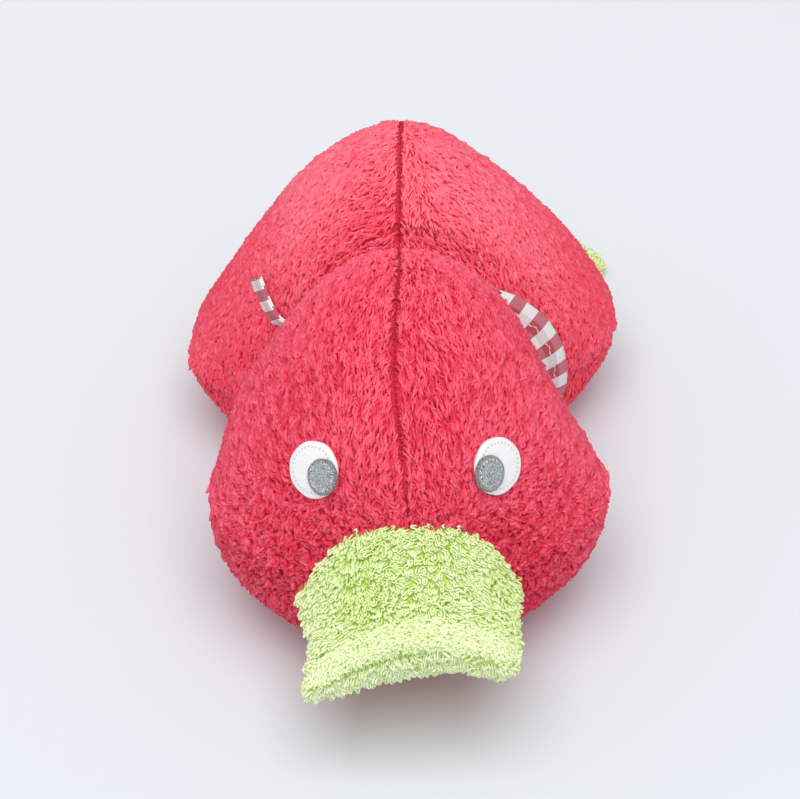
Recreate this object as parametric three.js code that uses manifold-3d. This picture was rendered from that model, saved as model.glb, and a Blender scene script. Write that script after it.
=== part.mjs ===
// A plush duck lying on its belly: terry shells over stuffing, a flat stuffed bill, felt eyes,
// a gingham ribbon tied round the neck and two flat feet. Millimetres, +Z up, the duck faces -Y.
// The origin is the middle of the patch of belly that it rests on.

import * as THREE from 'three';
import { mergeVertices } from 'three/addons/utils/BufferGeometryUtils.js';
import Module from 'manifold-3d';

const wasm = await Module();
wasm.setup();

// Cloth, seams and cuts
const terryThickness = 2.2;
const feltThickness = 1.1;
const ribbonThickness = 1;
const seamGap = 0.3;
const restFlatDepth = 0.5;
const overrun = 400;
const mergeTolerance = 1e-4;

// Body: widest at its side seam, where the two back panels meet the belly panel
const bodyHalfWidth = 58.5;
const bodyFront = 52;
const bodyRear = 48;
const bodySeamHeight = 25;
const bodyRise = 61.5;
const backLean = -2.2;
const bodyShift = 1;
const bodyBend = -4.5;
const rightHipSetback = 6.5;

// Head
const headToBody = 76;
const headHalfWidth = 50;
const headFront = 40.5;
const headRear = 47;
const headSeamHeight = 36;
const headRise = 54.5;
const crownSetback = 11.5;
const crownLean = -1.6;
const headShift = -1;
const leftCheekForward = 4.5;

// Neck: a ball of stuffing that the head turns and lifts on. The groove round it is as wide as that
// needs, and its wall on the body leans back most at the top. The chin rests, so the head only lifts.
const neckSetback = 44;
const neckHeight = 38;
const neckBallRadius = 27.5;
const neckBallGap = 0.7;
const neckWallLean = THREE.MathUtils.degToRad(8);
const neckTopLean = THREE.MathUtils.degToRad(10);
const headTurnRange = THREE.MathUtils.degToRad(12);
const headLiftRange = THREE.MathUtils.degToRad(10);
const grooveMargin = THREE.MathUtils.degToRad(1.5);

// Bill
const billReach = 66;
const billRootHalfWidth = 28.2;
const billDepth = 12.4;
const billArch = 21;
const billRootHeight = 54.5;
const billDrop = 14.5;
const billTwist = 2.7;
const billShift = -2.5;

// Eyes: centre of the white, its axes, and the pupil's place inside it
const eyeSpread = 21.5;
const eyeShift = -3;
const eyeSetback = 101.7;
const eyeHeight = 62.3;
const eyeHalfWidth = 7;
const eyeHalfHeight = 6.9;
const eyeTilt = THREE.MathUtils.degToRad(14);
const eyeAcross = THREE.MathUtils.degToRad(40);
const eyeUp = THREE.MathUtils.degToRad(31);
const pupilHalfWidth = 4.1;
const pupilHalfHeight = 4.4;
const pupilInward = 3;
const pupilDrop = 0.9;
const eyePlugDepth = 16;

// Ribbon round the neck, tied on the body's left front shoulder
const ribbonDepth = 12;
const ribbonLift = 0.6;
const ribbonYaw = THREE.MathUtils.degToRad(3.3);
const knotAcross = -22;
const knotBehindNeck = 10.5;
const knotLift = 2.2;
const knotLength = 7.5;
const knotWidth = 6.5;
const knotThickness = 5;
const loopLength = 22;
const loopWidth = 10;
const loopThickness = 3;

// Feet: flat pads that hinge under the belly's edge
const footTuck = 7;
const footLength = 34;
const footWidth = 31;
const footThickness = 8;
const footSeamHeight = 3.6;
const footSolePower = 0.5;
const footGap = 0.9;
const footSplayRight = THREE.MathUtils.degToRad(40);
const footSplayLeft = THREE.MathUtils.degToRad(27);

// How finely the soft forms are cut into faces
const ribCount = 18;
const roofSteps = 14;
const underSteps = 8;
const billSteps = 10;
const footSteps = 8;
const ballSides = 28;
const ovalSides = 28;
const coneSides = 36;
const knotSides = 14;
const rimSteps = 200;

const terryRed = cloth(0xd8435f);
const terryLime = cloth(0xc4dd7c);
const stuffing = cloth(0xf2f0ea);
const feltWhite = cloth(0xf3f1ee);
const feltGrey = cloth(0x85898f);
const gingham = cloth(0xdc93a3);

function cloth(color) {
  return new THREE.MeshStandardMaterial({ color, roughness: 0.95, metalness: 0 });
}

// A closed mesh as a solid that can be joined and cut
function solidOf(geometry) {
  const bare = geometry.clone();
  bare.deleteAttribute('normal');
  bare.deleteAttribute('uv');
  const merged = mergeVertices(bare, mergeTolerance);
  const index = merged.index.array;
  const kept = [];
  for (let i = 0; i < index.length; i += 3) {
    const [a, b, c] = [index[i], index[i + 1], index[i + 2]];
    if (a !== b && b !== c && c !== a) kept.push(a, b, c);
  }
  return new wasm.Manifold(new wasm.Mesh({
    numProp: 3,
    vertProperties: new Float32Array(merged.attributes.position.array),
    triVerts: new Uint32Array(kept),
  }));
}

function meshOf(name, solid, material) {
  const { vertProperties, triVerts } = solid.getMesh();
  const geometry = new THREE.BufferGeometry();
  geometry.setAttribute('position', new THREE.BufferAttribute(new Float32Array(vertProperties), 3));
  geometry.setIndex(new THREE.BufferAttribute(new Uint32Array(triVerts), 1));
  geometry.computeVertexNormals();
  const mesh = new THREE.Mesh(geometry, material);
  mesh.name = name;
  return mesh;
}

// A skin over rings of points that all run the same way round, closed by a fan at each end
function skin(rings) {
  const count = rings[0].length;
  const points = rings.flat();
  const faces = [];
  for (let r = 0; r + 1 < rings.length; r++) {
    for (let k = 0; k < count; k++) {
      const next = (k + 1) % count;
      const [a, b] = [r * count + k, r * count + next];
      const [c, d] = [a + count, b + count];
      faces.push(a, b, d, a, d, c);
    }
  }
  const endFan = (ring, start, flip) => {
    const middle = new THREE.Vector3();
    ring.forEach((p) => middle.addScaledVector(p, 1 / count));
    const hub = points.push(middle) - 1;
    for (let k = 0; k < count; k++) {
      const next = (k + 1) % count;
      if (flip) faces.push(hub, start + next, start + k);
      else faces.push(hub, start + k, start + next);
    }
  };
  endFan(rings[0], 0, true);
  endFan(rings[rings.length - 1], (rings.length - 1) * count, false);
  const geometry = new THREE.BufferGeometry();
  geometry.setAttribute('position', new THREE.Float32BufferAttribute(points.flatMap((p) => [p.x, p.y, p.z]), 3));
  geometry.setIndex(faces);
  return geometry;
}

const signedPower = (value, power) => Math.sign(value) * Math.abs(value) ** power;

// A stuffed lobe: ribs from its front tip to its rear tip. Each rib is a tent-like arch over the
// side seam and a shallower bowl under it. The powers say how blunt or pointed it swells and tapers.
const bodyLobe = {
  x: bodyShift,
  y: 0,
  front: bodyFront,
  rear: bodyRear,
  halfWidth: bodyHalfWidth,
  seamHeight: bodySeamHeight,
  rise: bodyRise,
  depth: bodySeamHeight + restFlatDepth,
  setback: 0,
  lean: backLean,
  bend: bodyBend,
  sideSetback: [0, rightHipSetback],
  widthPower: [1.15, 1.9],
  risePower: [0.8, 1.4],
  depthPower: [0.7, 0.8],
  roofPower: [1.13, 1.9],
  bowlPower: [1, 0.75],
};

const headLobe = {
  x: headShift,
  y: -headToBody,
  front: headFront,
  rear: headRear,
  halfWidth: headHalfWidth,
  seamHeight: headSeamHeight,
  rise: headRise,
  depth: headSeamHeight + restFlatDepth,
  setback: crownSetback,
  lean: crownLean,
  bend: 0,
  sideSetback: [-leftCheekForward, 0],
  widthPower: [1.16, 1.13],
  risePower: [0.72, 0.99],
  depthPower: [0.79, 0.7],
  roofPower: [0.87, 2.16],
  bowlPower: [0.78, 0.75],
};

// A point of a lobe: turn runs from its front tip to its rear tip, across from its left seam to its
// right one, and up from its side seam to its ridge
function lobePoint(lobe, inset, turn, across, up, z) {
  const reach = (turn < Math.PI / 2 ? lobe.front : lobe.rear) - inset;
  const swell = Math.sin(turn);
  const halfWidth = (lobe.halfWidth - inset) * swell ** lobe.widthPower[turn < Math.PI / 2 ? 0 : 1];
  const sideSetback = lobe.sideSetback[across < 0 ? 0 : 1] * across * across * swell;
  return new THREE.Vector3(
    lobe.x + lobe.bend * Math.cos(turn) + lobe.lean * swell * up + halfWidth * across,
    lobe.y - reach * Math.cos(turn) + lobe.setback * swell * swell * up + sideSetback,
    z,
  );
}

// inset moves the skin in by about that much all round; a negative inset swells it
function lobeSolid(lobe, inset) {
  const rings = [];
  const place = (turn, across, up, z) => lobePoint(lobe, inset, turn, across, up, z);
  for (let r = 1; r < ribCount; r++) {
    const turn = (Math.PI * r) / ribCount;
    const end = turn < Math.PI / 2 ? 0 : 1;
    const rise = (lobe.rise - inset) * Math.sin(turn) ** lobe.risePower[end];
    const depth = (lobe.depth - inset) * Math.sin(turn) ** lobe.depthPower[end];
    const ring = [];
    for (let k = 0; k <= roofSteps; k++) {
      const angle = -Math.PI / 2 + (Math.PI * k) / roofSteps;
      const edge = k === 0 || k === roofSteps;
      const across = edge ? Math.sign(angle) : signedPower(Math.sin(angle), lobe.roofPower[0]);
      const up = edge ? 0 : Math.cos(angle) ** lobe.roofPower[1];
      ring.push(place(turn, across, up, lobe.seamHeight + rise * up));
    }
    for (let k = 1; k < underSteps; k++) {
      const angle = Math.PI / 2 - (Math.PI * k) / underSteps;
      const down = Math.cos(angle) ** lobe.bowlPower[1];
      ring.push(place(turn, signedPower(Math.sin(angle), lobe.bowlPower[0]), 0, lobe.seamHeight - depth * down));
    }
    rings.push(ring);
  }
  const tip = (turn) => rings[0].map(() => place(turn, 0, 0, lobe.seamHeight));
  return solidOf(skin([tip(0), ...rings, tip(Math.PI)]));
}

// The height of a lobe's roof over a place in front of its widest line
function roofHeight(lobe, x, y) {
  const forward = (lobe.y - y) / lobe.front;
  const swell = Math.sqrt(1 - forward * forward);
  const across = Math.abs(x - lobe.x - lobe.bend * forward) / (lobe.halfWidth * swell ** lobe.widthPower[0]);
  const angle = Math.asin(across ** (1 / lobe.roofPower[0]));
  return lobe.seamHeight + lobe.rise * swell ** lobe.risePower[0] * Math.cos(angle) ** lobe.roofPower[1];
}

// A half space, as a block that runs past everything
function block(axis, from, to) {
  const size = new THREE.Vector3(2 * overrun, 2 * overrun, 2 * overrun);
  size[axis] = to - from;
  const geometry = new THREE.BoxGeometry(size.x, size.y, size.z);
  const place = new THREE.Vector3();
  place[axis] = (from + to) / 2;
  geometry.translate(place.x, place.y, place.z);
  return solidOf(geometry);
}

const neckY = -neckSetback;

function ball(radius) {
  const geometry = new THREE.SphereGeometry(radius, ballSides, ballSides / 2);
  geometry.translate(0, neckY, neckHeight);
  return solidOf(geometry);
}

// Everything on one side of a wavy cone whose point is the neck's centre: side is 1 towards the
// body. lean gives the wall's angle at each direction round the neck, from the top.
function coneSide(lean, side) {
  const around = [...Array(coneSides).keys()].map((k) => (side * 2 * Math.PI * k) / coneSides);
  const ring = (axial) => around.map((turn) => new THREE.Vector3(
    overrun * Math.sin(turn),
    neckY + axial(turn),
    neckHeight + overrun * Math.cos(turn),
  ));
  const point = new THREE.Vector3(0, neckY, neckHeight);
  const rim = ring((turn) => overrun * Math.tan(lean(turn)));
  const far = ring(() => side * overrun);
  return solidOf(skin([around.map(() => point), rim, far]));
}

const bodyWallLean = (turn) => neckWallLean + neckTopLean * ((1 + Math.cos(turn)) / 2) ** 2;
const grooveOpen = (turn) => headTurnRange * Math.abs(Math.sin(turn)) + headLiftRange * Math.max(Math.cos(turn), 0);
const headWallLean = (turn) => bodyWallLean(turn) - grooveOpen(turn) - grooveMargin;

const neckSocket = ball(neckBallRadius + neckBallGap);
const bodySide = coneSide(bodyWallLean, 1).subtract(neckSocket);
const headSide = coneSide(headWallLean, -1).subtract(neckSocket);

const group = new THREE.Group();
const add = (name, solid, material) => group.add(meshOf(name, solid, material));

// The shell of a lobe, parted at its centre seam and its side seam
function addShell(lobe, side, names, floor) {
  const shell = lobeSolid(lobe, 0).subtract(lobeSolid(lobe, terryThickness)).intersect(side).intersect(floor);
  const gap = seamGap / 2;
  const roof = shell.intersect(block('z', lobe.seamHeight + gap, overrun));
  const seam = lobe.x + lobe.lean;
  add(names[0], roof.intersect(block('x', -overrun, seam - gap)), terryRed);
  add(names[1], roof.intersect(block('x', seam + gap, overrun)), terryRed);
  add(names[2], shell.intersect(block('z', -overrun, lobe.seamHeight - gap)), terryRed);
}

function addFilling(lobe, side, name, floor) {
  add(name, lobeSolid(lobe, terryThickness + seamGap).intersect(side).intersect(floor), stuffing);
}

// Body and head, cut flat where they rest, with the stuffing standing clear of the cut panels
const aboveRest = block('z', 0, overrun);
const aboveLining = block('z', terryThickness - restFlatDepth + seamGap, overrun);
addShell(bodyLobe, bodySide, ['back_panel_left', 'back_panel_right', 'belly_panel'], aboveRest);
addFilling(bodyLobe, bodySide, 'body_filling', aboveLining);
add('neck_filling', ball(neckBallRadius), stuffing);
addShell(headLobe, headSide, ['head_panel_left', 'head_panel_right', 'chin_panel'], aboveRest);
addFilling(headLobe, headSide, 'head_filling', aboveLining);

// Bill: shares of its reach, half width, arch and drop at each station from root to tip, and of its
// thickness over and under the rim seam
const billStationShares = [
  { along: 0.3, width: 1.03, arch: 1.05, drop: 0, over: 0.46, under: 0.54 },
  { along: 0.5, width: 1, arch: 1.02, drop: 0.12, over: 0.46, under: 0.54 },
  { along: 0.61, width: 0.97, arch: 0.94, drop: 0.4, over: 0.44, under: 0.56 },
  { along: 0.7, width: 0.94, arch: 0.78, drop: 0.66, over: 0.4, under: 0.6 },
  { along: 0.78, width: 0.91, arch: 0.58, drop: 0.87, over: 0.34, under: 0.66 },
  { along: 0.86, width: 0.89, arch: 0.46, drop: 0.97, over: 0.28, under: 0.76 },
  { along: 0.93, width: 0.87, arch: 0.4, drop: 1, over: 0.24, under: 0.78 },
  { along: 0.97, width: 0.83, arch: 0.36, drop: 0.98, over: 0.18, under: 0.7 },
  { along: 0.99, width: 0.76, arch: 0.32, drop: 0.97, over: 0.12, under: 0.5 },
];

// The inset at the tip comes in over the last stations, so that the rest follows the same slope
const billEndPower = 8;
const billFillingShare = 0.9;

// part: 0 is the whole pad, 1 its upper half and -1 its lower half, parted at the rim seam
function billSolid(inset, part) {
  const side = part === 0 ? 1 : part;
  const rings = [...billStationShares, { ...billStationShares[billStationShares.length - 1], along: 1 }].map((station) => {
    const fullWidth = billRootHalfWidth * station.width;
    const middle = (billDepth * (station.over - station.under)) / 2;
    const half = (billDepth * (station.over + station.under)) / 2 - inset;
    const y = -headToBody - billReach * station.along + inset * station.along ** billEndPower;
    const point = (angle, way, puff) => {
      const across = station.along < 1 ? Math.cos(angle) * (1 - inset / fullWidth) : 0;
      const bulge = station.along < 1 ? (middle + way * half) * Math.sin(angle) * puff + (way * seamGap) / 2 : 0;
      const seam = billRootHeight - billDrop * station.drop - billArch * station.arch * across * across;
      return new THREE.Vector3(billShift + fullWidth * across, y, seam + billTwist * station.drop * across + bulge);
    };
    const ring = [];
    for (let k = 0; k <= billSteps; k++) ring.push(point((Math.PI * k) / billSteps, side, 1));
    for (let k = billSteps - 1; k > 0; k--) {
      const angle = (Math.PI * k) / billSteps;
      ring.push(part === 0 ? point(angle, -1, 1) : point(angle, side, 0));
    }
    return side > 0 ? ring : ring.reverse();
  });
  return solidOf(skin(rings));
}

const headKeepOut = lobeSolid(headLobe, -seamGap);
const billCore = billSolid(terryThickness, 0);
add('bill_upper', billSolid(0, 1).subtract(billCore).subtract(headKeepOut), terryLime);
add('bill_lower', billSolid(0, -1).subtract(billCore).subtract(headKeepOut), terryLime);
const behindLip = block('y', -headToBody - billReach * billFillingShare, overrun);
add('bill_filling', billSolid(terryThickness + seamGap, 0).subtract(headKeepOut).intersect(behindLip), stuffing);

// Eyes: an oval plug through a layer that lies on the head, and a smaller one through the next layer
function ovalPlug(side, across, down, halfWidth, halfHeight) {
  const geometry = new THREE.CylinderGeometry(1, 1, 2 * eyePlugDepth, ovalSides);
  geometry.rotateX(Math.PI / 2);
  geometry.scale(halfWidth, halfHeight, 1);
  geometry.translate(-side * across, -down, 0);
  geometry.rotateZ(-side * eyeTilt);
  geometry.rotateX(Math.PI / 2 - eyeUp);
  geometry.rotateZ(side * eyeAcross);
  geometry.translate(side * eyeSpread + eyeShift, -eyeSetback, eyeHeight);
  return solidOf(geometry);
}

const feltUnder = lobeSolid(headLobe, -seamGap);
const feltTop = lobeSolid(headLobe, -seamGap - feltThickness);
const pupilUnder = lobeSolid(headLobe, -2 * seamGap - feltThickness);
const pupilTop = lobeSolid(headLobe, -2 * seamGap - 2 * feltThickness);
for (const [word, side] of [['left', -1], ['right', 1]]) {
  const white = ovalPlug(side, 0, 0, eyeHalfWidth, eyeHalfHeight);
  const pupil = ovalPlug(side, pupilInward, pupilDrop, pupilHalfWidth, pupilHalfHeight);
  add(`eye_white_${word}`, feltTop.subtract(feltUnder).intersect(white), feltWhite);
  add(`pupil_${word}`, pupilTop.subtract(pupilUnder).intersect(pupil), feltGrey);
}

// Ribbon: a collar that lies on the body where it meets the neck groove
function neckSlab(from, to) {
  const geometry = new THREE.BoxGeometry(2 * overrun, to - from, 2 * overrun);
  geometry.translate(0, (from + to) / 2, 0);
  geometry.rotateZ(ribbonYaw);
  geometry.translate(0, neckY, 0);
  return solidOf(geometry);
}

const ribbonUnder = lobeSolid(bodyLobe, -ribbonLift);
const ribbonTop = lobeSolid(bodyLobe, -ribbonLift - ribbonThickness);
const band = neckSlab(0, ribbonDepth);
add('ribbon_band', ribbonTop.subtract(ribbonUnder).intersect(band).intersect(bodySide), gingham);

// The bow's pieces lie on the band and are cut clear of it and of each other
const bowKeepOut = lobeSolid(bodyLobe, -ribbonLift - ribbonThickness - seamGap);
const knotY = neckY + knotBehindNeck;
const knotPlace = new THREE.Vector3(knotAcross, knotY, roofHeight(bodyLobe, knotAcross, knotY) + knotLift);

function knotSolid(grow) {
  const geometry = new THREE.SphereGeometry(1, knotSides, knotSides / 2);
  geometry.scale(knotLength / 2 + grow, knotThickness / 2 + grow, knotWidth / 2 + grow);
  geometry.translate(knotPlace.x, knotPlace.y, knotPlace.z);
  return solidOf(geometry);
}

// A flattened loop as a bent strip: the places of its middle line as shares of the loop's length from
// the knot, and of its width. wide and thick are the ways its width and its thickness point.
function loopSolid(stationShares, wide, thick) {
  const rings = stationShares.map(([right, back, up, width]) => {
    const middle = new THREE.Vector3(right, back, up).multiplyScalar(loopLength).add(knotPlace);
    const corner = (w, t) => middle.clone()
      .addScaledVector(wide, (w * width * loopWidth) / 2)
      .addScaledVector(thick, (t * loopThickness) / 2);
    return [corner(-1, -1), corner(1, -1), corner(1, 1), corner(-1, 1)];
  });
  return solidOf(skin(rings)).subtract(knotSolid(seamGap)).subtract(bowKeepOut).intersect(bodySide);
}

const leftLoopShares = [
  [-0.48, 0.06, -0.52, 0.7],
  [-0.58, 0.2, -0.52, 1],
  [-0.82, 0.8, -0.44, 1],
  [-0.85, 0.86, -0.43, 0.6],
];
const rightLoopShares = [
  [0.2, 0.02, 0.31, 0.5],
  [0.3, 0.03, 0.42, 0.8],
  [0.45, 0.04, 0.52, 1],
  [0.52, 0.04, 0.56, 0.7],
];
add('ribbon_knot', knotSolid(0).subtract(bowKeepOut).intersect(bodySide), gingham);
const viewWide = new THREE.Vector3(0, -0.77, 0.64);
add('ribbon_loop_left', loopSolid(leftLoopShares, viewWide, new THREE.Vector3(0.9, 0.28, 0.33)), gingham);
const flatWide = new THREE.Vector3(0.1, 0.99, -0.02);
add('ribbon_loop_right', loopSolid(rightLoopShares, flatWide, new THREE.Vector3(-0.4, 0, 0.92)), gingham);

// Feet: shares of the foot's length, width and thickness at each station, from its round root,
// which turns under the belly's edge, to its toes
const footStationShares = [
  { along: 0.01, width: 0.5, thick: 0.45 },
  { along: 0.045, width: 0.56, thick: 0.75 },
  { along: 0.115, width: 0.6, thick: 0.98 },
  { along: 0.34, width: 0.68, thick: 1 },
  { along: 0.56, width: 0.84, thick: 1 },
  { along: 0.75, width: 0.97, thick: 0.96 },
  { along: 0.88, width: 1, thick: 0.86 },
  { along: 0.955, width: 0.86, thick: 0.62 },
];

// How far the body's side seam is from the origin, in the direction that a foot points
function rimRadius(side, splay) {
  let [nearest, radius] = [Math.PI, 0];
  for (let step = 0; step <= rimSteps; step++) {
    const place = lobePoint(bodyLobe, 0, Math.PI / 2 + (Math.PI / 2) * (step / rimSteps), side, 0, bodySeamHeight);
    const off = Math.abs(Math.atan2(side * place.x, place.y) - splay);
    if (off < nearest) [nearest, radius] = [off, Math.hypot(place.x, place.y)];
  }
  return radius;
}

// part: 0 is the whole pad, 1 its upper half and -1 its sole, parted at the rim seam
function footSolid(side, splay, inset, part) {
  const seam = footSeamHeight;
  const lift = footThickness - footSeamHeight;
  const sink = footSeamHeight + restFlatDepth;
  const [heel, toe] = [inset - footThickness / 2, footLength - inset];
  const rings = footStationShares.map((station) => {
    const halfWidth = (footWidth / 2 - inset) * station.width;
    const along = heel + station.along * (toe - heel);
    const up = (lift - inset) * station.thick - seamGap / 2;
    const down = (sink - inset) * station.thick ** footSolePower - seamGap / 2;
    const ring = [];
    const upper = (angle) => [Math.cos(angle), seamGap / 2 + up * Math.sin(angle)];
    const lower = (angle) => [Math.cos(angle), -seamGap / 2 - down * Math.sin(angle) ** footSolePower];
    const flat = (height) => (angle) => [Math.cos(angle), height];
    const over = part < 0 ? flat(-seamGap / 2) : upper;
    const under = part > 0 ? flat(seamGap / 2) : lower;
    for (let k = 0; k <= footSteps; k++) ring.push(over((Math.PI * k) / footSteps));
    for (let k = footSteps - 1; k > 0; k--) ring.push(under((Math.PI * k) / footSteps));
    return ring.map(([across, height]) => new THREE.Vector3(-halfWidth * across, along, seam + height));
  });
  const tip = (along) => rings[0].map(() => new THREE.Vector3(0, along, seam + part * seamGap / 2));
  const geometry = skin([tip(heel), ...rings, tip(toe)]);
  geometry.translate(0, rimRadius(side, splay) - footTuck, 0);
  geometry.rotateZ(-side * splay);
  return solidOf(geometry);
}

const bodyKeepOut = lobeSolid(bodyLobe, -footGap);
for (const [word, side, splay] of [['left', -1, footSplayLeft], ['right', 1, footSplayRight]]) {
  const core = footSolid(side, splay, terryThickness, 0);
  const clear = (solid) => solid.intersect(aboveRest).subtract(bodyKeepOut);
  add(`foot_upper_${word}`, clear(footSolid(side, splay, 0, 1).subtract(core)), terryLime);
  add(`foot_sole_${word}`, clear(footSolid(side, splay, 0, -1).subtract(core)), terryLime);
  const filling = footSolid(side, splay, terryThickness + seamGap, 0);
  add(`foot_filling_${word}`, clear(filling).intersect(aboveLining), stuffing);
}

export default group;
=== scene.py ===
# A stuffed duck in red and lime terry with felt eyes and a gingham ribbon, dressed over its frame
import math

import bpy
import numpy as np
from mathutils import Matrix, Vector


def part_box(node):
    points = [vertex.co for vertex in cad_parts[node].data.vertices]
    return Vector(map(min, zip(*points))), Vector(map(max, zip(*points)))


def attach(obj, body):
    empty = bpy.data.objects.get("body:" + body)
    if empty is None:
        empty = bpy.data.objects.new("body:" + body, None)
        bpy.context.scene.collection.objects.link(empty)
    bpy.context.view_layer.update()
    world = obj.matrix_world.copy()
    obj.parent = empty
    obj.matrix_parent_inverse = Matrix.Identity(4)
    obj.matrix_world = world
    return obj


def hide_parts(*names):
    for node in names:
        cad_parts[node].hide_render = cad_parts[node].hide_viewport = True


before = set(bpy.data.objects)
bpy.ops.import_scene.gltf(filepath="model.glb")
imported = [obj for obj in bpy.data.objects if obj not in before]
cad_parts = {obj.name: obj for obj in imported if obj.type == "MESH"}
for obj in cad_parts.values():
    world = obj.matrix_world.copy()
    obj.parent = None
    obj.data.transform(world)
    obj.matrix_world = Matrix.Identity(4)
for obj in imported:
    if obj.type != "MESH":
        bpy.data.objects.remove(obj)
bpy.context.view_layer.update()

# Left and right are the picture's, -x and +x, as in the names of the frame's nodes
millimetre = 0.001
fineStep = 1e-3
farOff = 1000.0
rng = np.random.default_rng(7)


def unit(vectors):
    return vectors / np.maximum(np.linalg.norm(vectors, axis=-1, keepdims=True), 1e-12)


def ramp(x, start, run):
    # 0 up to start, 1 from start + run on, straight between; a negative run goes down instead
    return np.clip((x - start) / run, 0, 1)


def hump(x, middle, spread):
    return np.exp(-(((x - middle) / spread) ** 2))


def rounded(line, reach):
    # a running mean that keeps both ends in place
    weights = np.hanning(2 * reach + 3)[1:-1]
    padded = np.pad(line, reach, mode="reflect", reflect_type="odd")
    return np.convolve(padded, weights / weights.sum(), "valid")


def gridOf(rows, columns, ringed=False):
    across = np.linspace(0, 1, columns, endpoint=not ringed)
    return np.meshgrid(np.linspace(0, 1, rows), across, indexing="ij")


# Colours are written as seen on a screen, 0 to 255, and made linear here
def dye(red, green, blue):
    seen = np.array([red, green, blue]) / 255
    return np.where(seen <= 0.04045, seen / 12.92, ((seen + 0.055) / 1.055) ** 2.4)


def rgba(color):
    return (*(float(part) for part in color), 1.0)


# A wrapped socket, so that shader sums are written as sums
class Thread:
    def __init__(self, finish, socket):
        self.finish = finish
        self.socket = socket

    def maths(self, operation, *others):
        return self.finish.maths(operation, self, *others)

    def __add__(self, other):
        return self.maths("ADD", other)

    def __sub__(self, other):
        return self.maths("SUBTRACT", other)

    def __rsub__(self, other):
        return self.finish.maths("SUBTRACT", other, self)

    def __mul__(self, other):
        return self.maths("MULTIPLY", other)

    def step(self, low, high):
        # 0 below low, 1 above high and smooth between them
        return self.finish.node(
            "ShaderNodeMapRange", {"interpolation_type": "SMOOTHSTEP"}, {"Value": self, 1: low, 2: high}
        )

    def near(self, value, low, high):
        # 1 within low of a value, 0 beyond high and smooth between them
        return 1 - (self - value).maths("ABSOLUTE").step(low, high)


# A material: one Principled shader and the nodes that feed it
class Finish:
    def __init__(self, name, **constants):
        self.material = bpy.data.materials.new(name)
        self.material.use_nodes = True
        self.tree = self.material.node_tree
        self.shader = self.tree.nodes["Principled BSDF"]
        for key, value in constants.items():
            self.shader.inputs[key.replace("_", " ")].default_value = value

    def node(self, kind, settings=None, values=None, out=0):
        node = self.tree.nodes.new(kind)
        for key, value in (settings or {}).items():
            setattr(node, key, value)
        for key, value in (values or {}).items():
            if isinstance(value, Thread):
                self.tree.links.new(value.socket, node.inputs[key])
            else:
                node.inputs[key].default_value = value
        return Thread(self, node.outputs[out])

    def maths(self, operation, *values):
        return self.node("ShaderNodeMath", {"operation": operation}, dict(enumerate(values)))

    def mix(self, low, high, share, blend="MIX"):
        low, high = (part if isinstance(part, Thread) else rgba(part) for part in (low, high))
        settings = {"data_type": "RGBA", "blend_type": blend}
        return self.node("ShaderNodeMix", settings, {0: share, 6: low, 7: high}, out=2)

    def noise(self, where, scale, detail=2.0, roughness=0.5):
        values = {"Vector": where, "Scale": scale, "Detail": detail, "Roughness": roughness}
        return self.node("ShaderNodeTexNoise", None, values)

    def place(self):
        return self.node("ShaderNodeTexCoord", out=3)

    def laid(self):
        return self.node("ShaderNodeUVMap", {"uv_map": "cloth"})

    def parts(self, vector):
        # the first two numbers of a vector
        split = self.node("ShaderNodeSeparateXYZ", None, {"Vector": vector})
        return split, Thread(self, split.socket.node.outputs[1])

    def bump(self, height, distance, strength):
        values = {"Height": height, "Distance": distance, "Strength": strength}
        return self.node("ShaderNodeBump", None, values)

    def feed(self, **threads):
        for key, thread in threads.items():
            self.tree.links.new(thread.socket, self.shader.inputs[key.replace("_", " ")])
        return self.material


# The cloth's ground under the loops: knitted backing with small pits
def groundCloth(name, deep, pale):
    cloth = Finish(name, Roughness=0.95, Sheen_Weight=0.2, Sheen_Roughness=0.5)
    where = cloth.place()
    patches = cloth.noise(where, 260, 3)
    pits = cloth.node("ShaderNodeTexVoronoi", None, {"Vector": where, "Scale": 1150.0})
    color = cloth.mix(deep, pale, patches.step(0.3, 0.75))
    return cloth.feed(Base_Color=color, Normal=cloth.bump(pits + patches * 0.4, 0.0006, 0.9))


# Pile yarn: each strand has its own dye, stored on the mesh, and fine twist lines; the yarn is also given a
# faint glow in its own colour, painted light that stands in for light coming through the yarn, so gaps stay
# coloured
def pileCloth(name, sheen, tint, paintedGlow):
    cloth = Finish(
        name, Roughness=0.9, Specular_IOR_Level=0.25, Sheen_Weight=sheen, Sheen_Roughness=0.4,
        Sheen_Tint=rgba(tint), Emission_Strength=paintedGlow,
    )
    color = cloth.node("ShaderNodeAttribute", {"attribute_name": "dye"})
    grain = cloth.noise(cloth.place(), 3200, 2)
    shade = cloth.mix((0.86, 0.86, 0.86), (1.1, 1.1, 1.1), grain)
    mixed = cloth.mix(color, shade, 1.0, "MULTIPLY")
    # the dye also feeds the emission: a painted glow, not a lamp
    return cloth.feed(Base_Color=mixed, Emission_Color=mixed, Normal=cloth.bump(grain, 0.00012, 0.6))


redGround = groundCloth("red terry ground", dye(228, 30, 60), dye(246, 48, 80))
limeGround = groundCloth("lime terry ground", dye(196, 232, 92), dye(222, 246, 126))
# the last number of each is the strength of the painted glow
redPile = pileCloth("red terry pile", 0.3, dye(255, 70, 96), 0.1)
limePile = pileCloth("lime terry pile", 0.35, dye(236, 255, 150), 0.13)
print("finishes made")


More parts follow.
